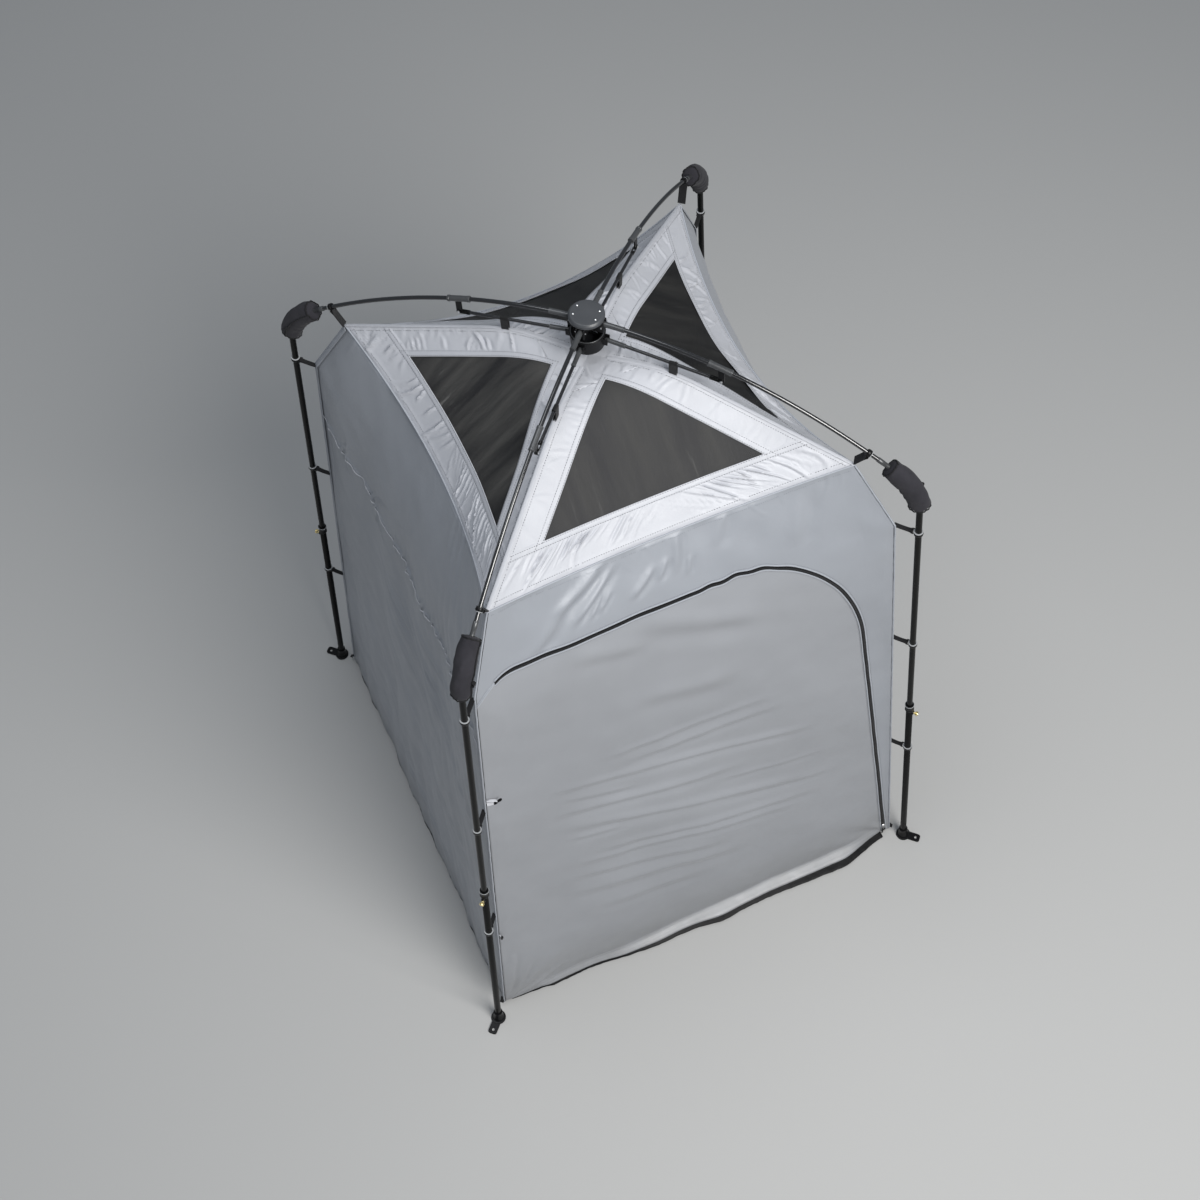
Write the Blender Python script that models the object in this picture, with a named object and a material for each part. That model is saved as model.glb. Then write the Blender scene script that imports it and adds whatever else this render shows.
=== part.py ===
# Shower tent with a quick-erect umbrella frame outside and a hung fabric cabin inside.
# Units are metres and +Z is up. The origin is the middle of the footprint on the ground.
# The door wall faces -Y. Corners are named as seen by someone who stands outside that door.
import math

import bmesh
import bpy
from mathutils import Vector

# Footprint and legs. "Half" is the distance from the centre plane along X or Y.
FOOT_HALF = 0.700
LEG_TOP_HALF = 0.573
LEG_TOP_Z = 1.735
ROOT_TWO = math.sqrt(2.0)
GAP = 0.0003
STEP_LENGTH = 0.001
SMOOTH_ANGLE = math.radians(38.0)

# Telescopic leg tubes.
UPPER_TUBE_R = 0.0080
LOWER_TUBE_R = 0.0095
LOWER_BORE_R = 0.0085
UPPER_TUBE_END_Z = 0.700
LOWER_TUBE_TOP_Z = 0.830
COLLAR_R = 0.0130
COLLAR_LENGTH = 0.028
COLLAR_PROUD = 0.001
COLLAR_BORE_EXTRA = 0.0004
KNOB_BELOW_TOP = 0.040
KNOB_STEM_R = 0.0040
KNOB_R = 0.0065
KNOB_REACH = 0.0250
KNOB_THICK = 0.0070
FOOT_PLATE_R = 0.0220
FOOT_PLATE_THICK = 0.006
FOOT_CUP_LOW_R = 0.0160
FOOT_CUP_TOP_R = 0.0125
FOOT_CUP_TOP_Z = 0.045
TUBE_IN_CUP = 0.030
PEG_TAB_REACH = 0.055
PEG_TAB_WIDTH = 0.026
PEG_TAB_THICK = 0.005
PEG_HOLE_R = 0.0045
PEG_HOLE_FROM_END = 0.014

# Hubs, arched roof poles and struts. Radial sizes run along the footprint's diagonals.
HUB_TOP_Z = 2.119
HUB_FACE_R = 0.0300
HUB_SHOULDER_R = 0.0385
HUB_SHOULDER_DROP = 0.0025
HUB_DISC_R = 0.0420
HUB_DISC_DROP = 0.0060
HUB_DISC_THICK = 0.012
HUB_DRUM_R = 0.0360
HUB_DRUM_BOTTOM_Z = 2.070
LOWER_HUB_R = 0.0415
LOWER_HUB_BORE_R = 0.0340
LOWER_HUB_TOP_Z = 2.060
LOWER_HUB_BOTTOM_Z = 2.019
LOWER_HUB_FLOOR = 0.006
LOWER_HUB_BEVEL = 0.003
POLE_HUB_Z = 2.096
POLE_ARCH = 0.450
POLE_R = 0.0050
POLE_END_RADIAL = 0.722
FERRULE_R = 0.0065
FERRULE_END_RADIAL = 0.090
SLEEVE_R = 0.0075
SLEEVE_FROM_RADIAL = 0.288
SLEEVE_TO_RADIAL = 0.344
STRUT_HUB_Z = 2.045
STRUT_END_RADIAL = 0.3000
STRUT_END_Z = 2.010
STRUT_R = 0.0040
SOCKET_R = 0.0055
SOCKET_END_RADIAL = 0.092
LUG_LENGTH = 0.034
LUG_THICK = 0.004
LUG_BOTTOM_Z = 1.999
PIVOT_RADIAL = 0.320
PIVOT_Z = 2.008
PIVOT_R = 0.0030
PIVOT_LENGTH = 0.012

# Padded elbow covers.
COVER_RADII = (0.0215, 0.0265, 0.0290, 0.0300, 0.0290, 0.0265, 0.0215)
COVER_FLATTEN = 0.88

# Fabric cabin: the corner line leans in, then folds in further at the shoulder.
CLOTH = 0.0020
SEAM_GAP = 0.0006
WALL_EDGE_GAP = 0.0014
CORNER_BASE_HALF = 0.667
CORNER_LEAN = 0.0776
SHOULDER_Z = 1.645
ROOF_CORNER_HALF = 0.4555
ROOF_CORNER_Z = 1.836
EDGE_PULL_IN = 0.057
EDGE_SAG = 0.070
WALL_BOTTOM = 0.012
WALL_TOP = 0.9975

# Roof: four panels between the hips, each with a triangular mesh window.
ROOF_CENTRE_Z = 1.975
HIP_PEAK_RADIAL = 0.205
HIP_PEAK_Z = 1.994
ROOF_INNER = 0.035
ROOF_OUTER = 0.9960
WINDOW_OUTER = 0.810
WINDOW_HIP_MARGIN = 0.096
PANEL_TIP_OUT = 0.012
MESH_TIP_OUT = 0.016
MESH_SIDE_GAP = 0.0006
MESH_OUTER_GAP = 0.0016
MESH_THICK = 0.0012
MESH_SUNK = 0.0004

# Door outline on the front wall, in parts of the wall's half width and height.
DOOR_TOP = 0.907
DOOR_TOP_LEFT = 0.875
DOOR_LEFT_CURVE = 0.20
DOOR_ARC_START = 0.283
DOOR_ARC_HANDLES = ((0.61, 0.907), (0.82, 0.80))
DOOR_ARC_END = (0.855, 0.672)
DOOR_SIDE_MID = (0.887, 0.498)
DOOR_SIDE_BASE = (0.975, 0.0)
DOOR_GAP_ACROSS = 0.0030
DOOR_GAP_UP = 0.0014
DOOR_SHARES = (0.0, 0.04, 0.08, 0.16, 0.28, 0.42, 0.56, 0.70, 0.82, 0.92, 1.0)
STRIP_TOP = 0.700
STRIP_STEP = 0.93

# Mud flap behind the hems.
FLAP_TOP_Z = 0.060
FLAP_BOTTOM_Z = 0.003
FLAP_THICK = 0.0015
FLAP_CLEAR = 0.0010
FLAP_FRONT_GAP = 0.0040
FLAP_RIGHT_GAP = 0.0100

# Webbing that ties the cabin to the frame.
TAPE_OFF = 0.0005
TAPE_THICK = 0.0018
TAPE_FROM = 0.0015
TAPE_WIDTH = 0.014
TAPE_BOTTOM_Z = 0.030
TAPE_ABOVE_ROOF = 0.012
STRAP_THICK = 0.0018
STRAP_WIDTH = 0.012
STRAP_START = 0.0005
STRAP_INTO_TAPE = 0.0040
STRAP_BELOW_TAPE_TOP = 0.0030
STRAP_INTO_RING = 0.6
HIP_STRAP_INTO_RING = 0.4
RING_HEIGHTS_UPPER = (1.643, 1.147)
RING_HEIGHT_LOWER = 0.586
RING_WALL = 0.0035
RING_TALL = 0.010
RING_GAP = 0.0006
POLE_CLIP_RADIAL = 0.672
STRUT_CLIP_RADIAL = 0.205

CORNERS = {
    "front_left": (-1, -1),
    "front_right": (1, -1),
    "back_right": (1, 1),
    "back_left": (-1, 1),
}
SIDES = {"front": 0, "right": 1, "back": 2, "left": 3}

COLOURS = {
    "frame": ((0.020, 0.020, 0.021), 0.35, 0.6),
    "hub": ((0.075, 0.080, 0.085), 0.45, 0.0),
    "black_plastic": ((0.015, 0.015, 0.016), 0.5, 0.0),
    "cover_fabric": ((0.045, 0.043, 0.050), 0.9, 0.0),
    "wall_fabric": ((0.340, 0.355, 0.385), 0.7, 0.0),
    "roof_fabric": ((0.480, 0.490, 0.520), 0.55, 0.0),
    "mesh": ((0.050, 0.052, 0.056), 0.9, 0.0),
    "webbing": ((0.020, 0.020, 0.022), 0.85, 0.0),
    "flap": ((0.020, 0.021, 0.024), 0.6, 0.0),
}


def clear_scene():
    for old in list(bpy.data.objects):
        bpy.data.objects.remove(old, do_unlink=True)


def paint(obj, slot):
    colour, roughness, metallic = COLOURS[slot]
    material = bpy.data.materials.get(slot)
    if material is None:
        material = bpy.data.materials.new(slot)
        material.use_nodes = True
        shader = material.node_tree.nodes["Principled BSDF"]
        shader.inputs["Base Color"].default_value = (*colour, 1.0)
        shader.inputs["Roughness"].default_value = roughness
        shader.inputs["Metallic"].default_value = metallic
    obj.data.materials.append(material)


def place_mesh(name, bm, slot):
    # Faces out, and shaded smooth up to the angle at which an edge should look sharp.
    bmesh.ops.recalc_face_normals(bm, faces=bm.faces)
    mesh = bpy.data.meshes.new(name)
    bm.to_mesh(mesh)
    bm.free()
    for face in mesh.polygons:
        face.use_smooth = True
    mesh.set_sharp_from_angle(angle=SMOOTH_ANGLE)
    obj = bpy.data.objects.new(name, mesh)
    bpy.context.collection.objects.link(obj)
    paint(obj, slot)
    return obj


def add_union(obj, other):
    other.hide_render = True
    other.display_type = "WIRE"
    union = obj.modifiers.new("join_" + other.name, "BOOLEAN")
    union.operation = "UNION"
    union.solver = "EXACT"
    union.object = other


def cut_away(obj, other):
    other.hide_render = True
    other.display_type = "WIRE"
    cut = obj.modifiers.new("cut_" + other.name, "BOOLEAN")
    cut.operation = "DIFFERENCE"
    cut.solver = "EXACT"
    cut.object = other


def hang_on_joint(name, place, way, pieces):
    # An empty on a joint's line, with its Z along that line, carries the pieces that move.
    empty = bpy.data.objects.new(name, None)
    bpy.context.collection.objects.link(empty)
    empty.rotation_mode = "QUATERNION"
    empty.rotation_quaternion = way.to_track_quat("Z", "Y")
    empty.location = place
    bpy.context.view_layer.update()
    for piece in pieces:
        piece.parent = empty
        piece.matrix_parent_inverse = empty.matrix_world.inverted()


def diagonal(corner, radial, z, across=0.0):
    # A point on a corner's diagonal plane, with an optional step across that plane.
    side_x, side_y = CORNERS[corner]
    out = Vector((side_x, side_y, 0.0)) / ROOT_TWO
    over = Vector((-side_y, side_x, 0.0)) / ROOT_TWO
    return out * radial + over * across + Vector((0.0, 0.0, z))


def leg_radial(z):
    half = FOOT_HALF + (LEG_TOP_HALF - FOOT_HALF) * z / LEG_TOP_Z
    return half * ROOT_TWO


def leg_point(corner, z):
    return diagonal(corner, leg_radial(z), z)


def pole_z(radial):
    return POLE_HUB_Z - POLE_ARCH * radial * radial


def strut_z(radial):
    start = LOWER_HUB_R
    share = (radial - start) / (STRUT_END_RADIAL - start)
    return STRUT_HUB_Z + (STRUT_END_Z - STRUT_HUB_Z) * share


def ring_points(centre, direction, radius, sides, squash=1.0, flat_axis=None):
    # A ring of points round a centre, square to a direction; flat_axis is the way it is squashed.
    direction = direction.normalized()
    helper = flat_axis if flat_axis is not None else Vector((0.0, 0.0, 1.0))
    if abs(direction.dot(helper.normalized())) > 0.95:
        helper = Vector((1.0, 0.0, 0.0))
    first = direction.cross(helper).normalized()
    second = direction.cross(first).normalized()
    points = []
    for k in range(sides):
        angle = 2.0 * math.pi * k / sides
        sideways = second * radius * squash * math.sin(angle)
        points.append(centre + first * radius * math.cos(angle) + sideways)
    return points


def loft(rings, closed_loop=False):
    # Joins rings of points with quads; open lofts get a cap at each end.
    bm = bmesh.new()
    rows = []
    for ring in rings:
        rows.append([bm.verts.new(p) for p in ring])
    count = len(rows[0])
    pairs = list(zip(rows, rows[1:]))
    if closed_loop:
        pairs.append((rows[-1], rows[0]))
    for low, high in pairs:
        for k in range(count):
            step = (k + 1) % count
            bm.faces.new((low[k], low[step], high[step], high[k]))
    if not closed_loop:
        bm.faces.new(list(reversed(rows[0])))
        bm.faces.new(rows[-1])
    return bm


def tube(name, path, radii, slot, sides=12, squash=1.0, flat_axis=None, ways=None):
    # A round body along a path; ways gives each ring's direction where the path's own isn't wanted.
    rings = []
    last = len(path) - 1
    for i, point in enumerate(path):
        if ways is not None:
            rings.append(ring_points(point, ways[i], radii[i], sides, squash, flat_axis))
            continue
        before = path[max(i - 1, 0)]
        after = path[min(i + 1, last)]
        if (after - point).length < 1e-6:
            after = path[min(i + 2, last)]
        if (point - before).length < 1e-6:
            before = path[max(i - 2, 0)]
        rings.append(ring_points(point, after - before, radii[i], sides, squash, flat_axis))
    return place_mesh(name, loft(rings), slot)


def pipe(name, start, end, outer, bore, slot, sides=16):
    # A hollow straight tube, made as one closed loop of rings: outside, end, inside, end.
    way = end - start
    rings = [
        ring_points(start, way, outer, sides),
        ring_points(end, way, outer, sides),
        ring_points(end, way, bore, sides),
        ring_points(start, way, bore, sides),
    ]
    return place_mesh(name, loft(rings, closed_loop=True), slot)


def turned(name, profile, slot, sides=32):
    # Turns an outline of (radius, height) points round the Z axis. Its two ends lie on the axis.
    bm = bmesh.new()
    first = bm.verts.new((0.0, 0.0, profile[0][1]))
    last = bm.verts.new((0.0, 0.0, profile[-1][1]))
    rings = []
    for k in range(sides):
        angle = 2.0 * math.pi * k / sides
        ring = []
        for radius, height in profile[1:-1]:
            ring.append(bm.verts.new((radius * math.cos(angle), radius * math.sin(angle), height)))
        rings.append(ring)
    for near, far in zip(rings, rings[1:] + rings[:1]):
        bm.faces.new((first, near[0], far[0]))
        bm.faces.new((last, far[-1], near[-1]))
        for j in range(len(near) - 1):
            bm.faces.new((near[j], near[j + 1], far[j + 1], far[j]))
    return place_mesh(name, bm, slot)


def slab(name, start, end, width_way, width, thick, slot):
    # A flat bar from start to end with its width along width_way.
    along = (end - start).normalized()
    wide = (width_way - along * width_way.dot(along)).normalized() * width / 2.0
    deep = along.cross(wide).normalized() * thick / 2.0
    rings = []
    for point in (start, end):
        rings.append([point - wide - deep, point + wide - deep, point + wide + deep, point - wide + deep])
    return place_mesh(name, loft(rings), slot)


def turn_to_side(point, side):
    # Front-wall coordinates turned a quarter turn at a time to the right, back and left.
    x, y, z = point
    turned_point = Vector((x, y, z))
    for _ in range(SIDES[side]):
        turned_point = Vector((-turned_point.y, turned_point.x, turned_point.z))
    return turned_point


def corner_half(z):
    if z <= SHOULDER_Z:
        return CORNER_BASE_HALF - CORNER_LEAN * z
    shoulder = CORNER_BASE_HALF - CORNER_LEAN * SHOULDER_Z
    share = min((z - SHOULDER_Z) / (ROOF_CORNER_Z - SHOULDER_Z), 1.0)
    return shoulder + (ROOF_CORNER_HALF - shoulder) * share


def wall_point(across, up):
    # across runs -1 to 1 between corners, up runs 0 at the ground to 1 at the roof edge.
    half = corner_half(up * ROOF_CORNER_Z)
    belly = 1.0 - across * across
    x = across * half
    y = -half + EDGE_PULL_IN * up * up * belly
    z = up * (ROOF_CORNER_Z - EDGE_SAG * belly)
    return Vector((x, y, z))


def hip_z(radial):
    if radial < HIP_PEAK_RADIAL:
        share = 1.0 - radial / HIP_PEAK_RADIAL
        return HIP_PEAK_Z + (ROOF_CENTRE_Z - HIP_PEAK_Z) * share * share
    corner_radial = ROOF_CORNER_HALF * ROOT_TWO
    share = (radial - HIP_PEAK_RADIAL) / (corner_radial - HIP_PEAK_RADIAL)
    return HIP_PEAK_Z + (ROOF_CORNER_Z - HIP_PEAK_Z) * share


def roof_point(across, out):
    # out runs 0 at the roof's centre to 1 at the wall.
    radial = out * ROOF_CORNER_HALF * ROOT_TWO
    half = radial / ROOT_TWO
    belly = out * out * (1.0 - across * across)
    return Vector((across * half, -half + EDGE_PULL_IN * belly, hip_z(radial) - EDGE_SAG * belly))


def normal_of(surface, across, up):
    step = 0.002
    left = surface(across - step, up)
    right = surface(across + step, up)
    low = surface(across, up - step)
    high = surface(across, up + step)
    return (right - left).cross(high - low).normalized()


def cloth_shell(name, surface, rows, side, slot, thick=CLOTH, drop=False):
    # rows is a list of rows of (across, up). The shell has the surface outside and a copy of it
    # inside, one thickness in along the normal, or straight down where drop is set.
    bm = bmesh.new()
    outer = []
    inner = []
    for row in rows:
        outer_row = []
        inner_row = []
        for across, up in row:
            point = surface(across, up)
            away = Vector((0.0, 0.0, 1.0)) if drop else normal_of(surface, across, up)
            outer_row.append(bm.verts.new(turn_to_side(point, side)))
            inner_row.append(bm.verts.new(turn_to_side(point - away * thick, side)))
        outer.append(outer_row)
        inner.append(inner_row)
    last_row = len(rows) - 1
    last = len(rows[0]) - 1
    for j in range(last_row):
        for i in range(last):
            # Both sheets are cut along the same diagonal, so that they stay one thickness apart.
            bm.faces.new((outer[j][i], outer[j][i + 1], outer[j + 1][i + 1]))
            bm.faces.new((outer[j][i], outer[j + 1][i + 1], outer[j + 1][i]))
            bm.faces.new((inner[j][i], inner[j + 1][i + 1], inner[j][i + 1]))
            bm.faces.new((inner[j][i], inner[j + 1][i], inner[j + 1][i + 1]))
        bm.faces.new((outer[j][0], outer[j + 1][0], inner[j + 1][0], inner[j][0]))
        bm.faces.new((outer[j][last], inner[j][last], inner[j + 1][last], outer[j + 1][last]))
    top_outer, top_inner = outer[last_row], inner[last_row]
    for i in range(last):
        bm.faces.new((outer[0][i], inner[0][i], inner[0][i + 1], outer[0][i + 1]))
        bm.faces.new((top_outer[i], top_outer[i + 1], top_inner[i + 1], top_inner[i]))
    return place_mesh(name, bm, slot)


def edge_across(up, inset):
    # How far across a wall goes when it stops a set distance short of the corner line.
    return 1.0 - inset / corner_half(up * ROOF_CORNER_Z)


def spread(low, high, count):
    return [low + (high - low) * k / count for k in range(count + 1)]


def bezier(p0, p1, p2, p3, share):
    rest = 1.0 - share
    weights = (rest ** 3, 3 * rest * rest * share, 3 * rest * share * share, share ** 3)
    points = (p0, p1, p2, p3)
    return tuple(sum(w * p[k] for w, p in zip(weights, points)) for k in (0, 1))


def door_arc(count=10):
    # The upper right bend of the zip, then its nearly straight run down to the hem.
    start = (DOOR_ARC_START, DOOR_TOP)
    leaving, arriving = DOOR_ARC_HANDLES
    points = []
    for k in range(count + 1):
        points.append(bezier(start, leaving, arriving, DOOR_ARC_END, k / count))
    return points


def door_right(up):
    # The zip's place across the wall at a height below the arc's top.
    outline = [DOOR_SIDE_BASE, DOOR_SIDE_MID] + list(reversed(door_arc()))
    for (a0, u0), (a1, u1) in zip(outline, outline[1:]):
        if u0 <= up <= u1:
            return a0 + (a1 - a0) * (up - u0) / (u1 - u0)
    return DOOR_ARC_START


def door_left_top(across):
    # The zip's first stretch rises from the left corner to the level run along the top.
    share = min(max((across + 1.0) / DOOR_LEFT_CURVE, 0.0), 1.0)
    return DOOR_TOP_LEFT + (DOOR_TOP - DOOR_TOP_LEFT) * (1.0 - (1.0 - share) ** 2)


def door_columns(right):
    # Places across a row of the door, closer together near the left corner where the zip rises.
    left = -edge_across(DOOR_TOP, CLOTH + WALL_EDGE_GAP)
    return [left + (right - left) * share for share in DOOR_SHARES]


def build_hubs():
    disc_low = HUB_TOP_Z - HUB_DISC_THICK
    profile = [
        (0.0, HUB_TOP_Z),
        (HUB_FACE_R, HUB_TOP_Z),
        (HUB_SHOULDER_R, HUB_TOP_Z - HUB_SHOULDER_DROP),
        (HUB_DISC_R, HUB_TOP_Z - HUB_DISC_DROP),
        (HUB_DISC_R, disc_low),
        (HUB_DRUM_R, disc_low),
        (HUB_DRUM_R, HUB_DRUM_BOTTOM_Z),
        (0.0, HUB_DRUM_BOTTOM_Z),
    ]
    turned("upper_hub", profile, "hub")
    floor_z = LOWER_HUB_BOTTOM_Z + LOWER_HUB_FLOOR
    profile = [
        (0.0, floor_z),
        (LOWER_HUB_BORE_R, floor_z),
        (LOWER_HUB_BORE_R, LOWER_HUB_TOP_Z),
        (LOWER_HUB_R, LOWER_HUB_TOP_Z),
        (LOWER_HUB_R, LOWER_HUB_BOTTOM_Z + LOWER_HUB_BEVEL),
        (LOWER_HUB_R - LOWER_HUB_BEVEL, LOWER_HUB_BOTTOM_Z),
        (0.0, LOWER_HUB_BOTTOM_Z),
    ]
    turned("lower_hub", profile, "black_plastic")


def build_pole(corner):
    start = HUB_DRUM_R + GAP
    radials = [start, FERRULE_END_RADIAL, FERRULE_END_RADIAL + STEP_LENGTH]
    radials += spread(FERRULE_END_RADIAL, SLEEVE_FROM_RADIAL, 5)[1:]
    radials += [SLEEVE_FROM_RADIAL + STEP_LENGTH, SLEEVE_TO_RADIAL, SLEEVE_TO_RADIAL + STEP_LENGTH]
    radials += spread(SLEEVE_TO_RADIAL, POLE_END_RADIAL - GAP, 9)[1:]
    radii = []
    for radial in radials:
        if radial <= FERRULE_END_RADIAL:
            radii.append(FERRULE_R)
        elif SLEEVE_FROM_RADIAL < radial <= SLEEVE_TO_RADIAL:
            radii.append(SLEEVE_R)
        else:
            radii.append(POLE_R)
    path = [diagonal(corner, r, pole_z(r)) for r in radials]
    ways = [diagonal(corner, 1.0, -2.0 * POLE_ARCH * r) for r in radials]
    ways[0] = diagonal(corner, 1.0, 0.0)
    pole = tube("roof_pole_" + corner, path, radii, "frame", ways=ways)
    lug_middle = STRUT_END_RADIAL + GAP + LUG_LENGTH / 2.0
    top = diagonal(corner, lug_middle, pole_z(lug_middle))
    bottom = diagonal(corner, lug_middle, LUG_BOTTOM_Z)
    radial_way = diagonal(corner, 1.0, 0.0)
    lug = slab("lug_shape_" + corner, bottom, top, radial_way, LUG_LENGTH, LUG_THICK, "frame")
    add_union(pole, lug)
    pin_path = []
    for side in (-0.5, 0.5):
        pin_path.append(diagonal(corner, PIVOT_RADIAL, PIVOT_Z, side * PIVOT_LENGTH))
    pin = tube("pivot_shape_" + corner, pin_path, [PIVOT_R, PIVOT_R], "frame", sides=10)
    add_union(pole, pin)


def build_strut(corner):
    start = LOWER_HUB_R + GAP
    radials = [start, SOCKET_END_RADIAL, SOCKET_END_RADIAL + STEP_LENGTH, STRUT_END_RADIAL]
    radii = [SOCKET_R, SOCKET_R, STRUT_R, STRUT_R]
    path = [diagonal(corner, r, strut_z(r)) for r in radials]
    level = [diagonal(corner, 1.0, 0.0)] * len(path)
    tube("strut_" + corner, path, radii, "frame", sides=10, ways=level)


def build_elbow_cover(corner):
    start = Vector((POLE_END_RADIAL + GAP, pole_z(POLE_END_RADIAL)))
    slope = -2.0 * POLE_ARCH * POLE_END_RADIAL
    end = Vector((leg_radial(LEG_TOP_Z), LEG_TOP_Z))
    lean = leg_radial(0.0) - leg_radial(1.0)
    # The two tube lines meet at the bend that the cover wraps.
    reach = (end.x - start.x + lean * (end.y - start.y)) / (1.0 + lean * slope)
    bend = start + Vector((reach, reach * slope))
    path = []
    ways = []
    last = len(COVER_RADII) - 1
    for k in range(last + 1):
        share = k / last
        spot = start * (1 - share) ** 2 + bend * 2 * share * (1 - share) + end * share * share
        way = (bend - start) * (1 - share) + (end - bend) * share
        path.append(diagonal(corner, spot.x, spot.y))
        ways.append(diagonal(corner, way.x, way.y))
    across = diagonal(corner, 0.0, 0.0, 1.0)
    tube("elbow_cover_" + corner, path, COVER_RADII, "cover_fabric", 14, COVER_FLATTEN, across, ways)


def build_leg(corner):
    top = leg_point(corner, LEG_TOP_Z - GAP)
    low = leg_point(corner, UPPER_TUBE_END_Z)
    tube("upper_leg_" + corner, [low, top], [UPPER_TUBE_R, UPPER_TUBE_R], "frame", sides=16)

    base = leg_point(corner, FOOT_CUP_TOP_Z - TUBE_IN_CUP)
    head = leg_point(corner, LOWER_TUBE_TOP_Z)
    leg = pipe("lower_leg_" + corner, base, head, LOWER_TUBE_R, LOWER_BORE_R, "frame")
    collar_low = leg_point(corner, LOWER_TUBE_TOP_Z - COLLAR_LENGTH)
    collar_top = leg_point(corner, LOWER_TUBE_TOP_Z + COLLAR_PROUD)
    bore = LOWER_BORE_R + COLLAR_BORE_EXTRA
    collar = pipe("collar_shape_" + corner, collar_low, collar_top, COLLAR_R, bore, "frame")
    add_union(leg, collar)

    knob_z = LOWER_TUBE_TOP_Z - KNOB_BELOW_TOP
    knob_radial = leg_radial(knob_z)
    wall_middle = (LOWER_TUBE_R + LOWER_BORE_R) / 2.0
    stem_end = KNOB_REACH - KNOB_THICK
    reaches = [wall_middle, stem_end, stem_end + STEP_LENGTH / 2.0, KNOB_REACH]
    radii = [KNOB_STEM_R, KNOB_STEM_R, KNOB_R, KNOB_R]
    path = [diagonal(corner, knob_radial + reach, knob_z) for reach in reaches]
    knob = tube("knob_shape_" + corner, path, radii, "frame", sides=12)
    add_union(leg, knob)

    # The foot is a cup under the tube on a flat plate, with a tab that has a hole for a peg.
    foot_radial = leg_radial(0.0)
    up = Vector((0.0, 0.0, 1.0))
    plate_centre = diagonal(corner, foot_radial, 0.0)
    cup_path = [
        plate_centre,
        plate_centre + up * FOOT_PLATE_THICK,
        leg_point(corner, FOOT_PLATE_THICK + STEP_LENGTH),
        leg_point(corner, FOOT_CUP_TOP_Z),
    ]
    cup_radii = [FOOT_PLATE_R, FOOT_PLATE_R, FOOT_CUP_LOW_R, FOOT_CUP_TOP_R]
    cup = tube("foot_shape_" + corner, cup_path, cup_radii, "frame", 16)
    add_union(leg, cup)
    tab_from = diagonal(corner, foot_radial, FOOT_PLATE_THICK / 2.0)
    tab_to = diagonal(corner, foot_radial + PEG_TAB_REACH, FOOT_PLATE_THICK / 2.0)
    over = diagonal(corner, 0.0, 0.0, 1.0)
    tab = slab("tab_shape_" + corner, tab_from, tab_to, over, PEG_TAB_WIDTH, PEG_TAB_THICK, "frame")
    add_union(leg, tab)
    hole_radial = foot_radial + PEG_TAB_REACH - PEG_HOLE_FROM_END
    hole_ends = (-FOOT_PLATE_THICK, 2.0 * FOOT_PLATE_THICK)
    hole_path = [diagonal(corner, hole_radial, z) for z in hole_ends]
    hole = tube("hole_shape_" + corner, hole_path, [PEG_HOLE_R, PEG_HOLE_R], "frame", 12)
    cut_away(leg, hole)
    way = leg_point(corner, 1.0) - leg_point(corner, 0.0)
    hang_on_joint("leg_slide_" + corner, leg_point(corner, 0.0), way, [leg])


def ring_shape(name, centre, way, tube_r):
    half = way.normalized() * RING_TALL / 2.0
    inner = tube_r + RING_GAP
    return pipe(name, centre - half, centre + half, inner + RING_WALL, inner, "webbing", 14)


def tape_section(corner, z):
    # Four corners of the seam tape's section at a height, on the outside of the side wall.
    side_x, side_y = CORNERS[corner]
    half = corner_half(z)
    x_in = side_x * (half + TAPE_OFF)
    x_out = side_x * (half + TAPE_OFF + TAPE_THICK)
    y_near = side_y * (half - TAPE_FROM)
    y_far = side_y * (half - TAPE_FROM - TAPE_WIDTH)
    outline = [(x_in, y_near), (x_out, y_near), (x_out, y_far), (x_in, y_far)]
    return [Vector((x, y, z)) for x, y in outline]


def tape_middle(corner, z):
    side_x, side_y = CORNERS[corner]
    half = corner_half(z)
    x = side_x * (half + TAPE_OFF + TAPE_THICK / 2.0)
    y = side_y * (half - TAPE_FROM - STRAP_INTO_TAPE)
    return Vector((x, y, z))


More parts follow.
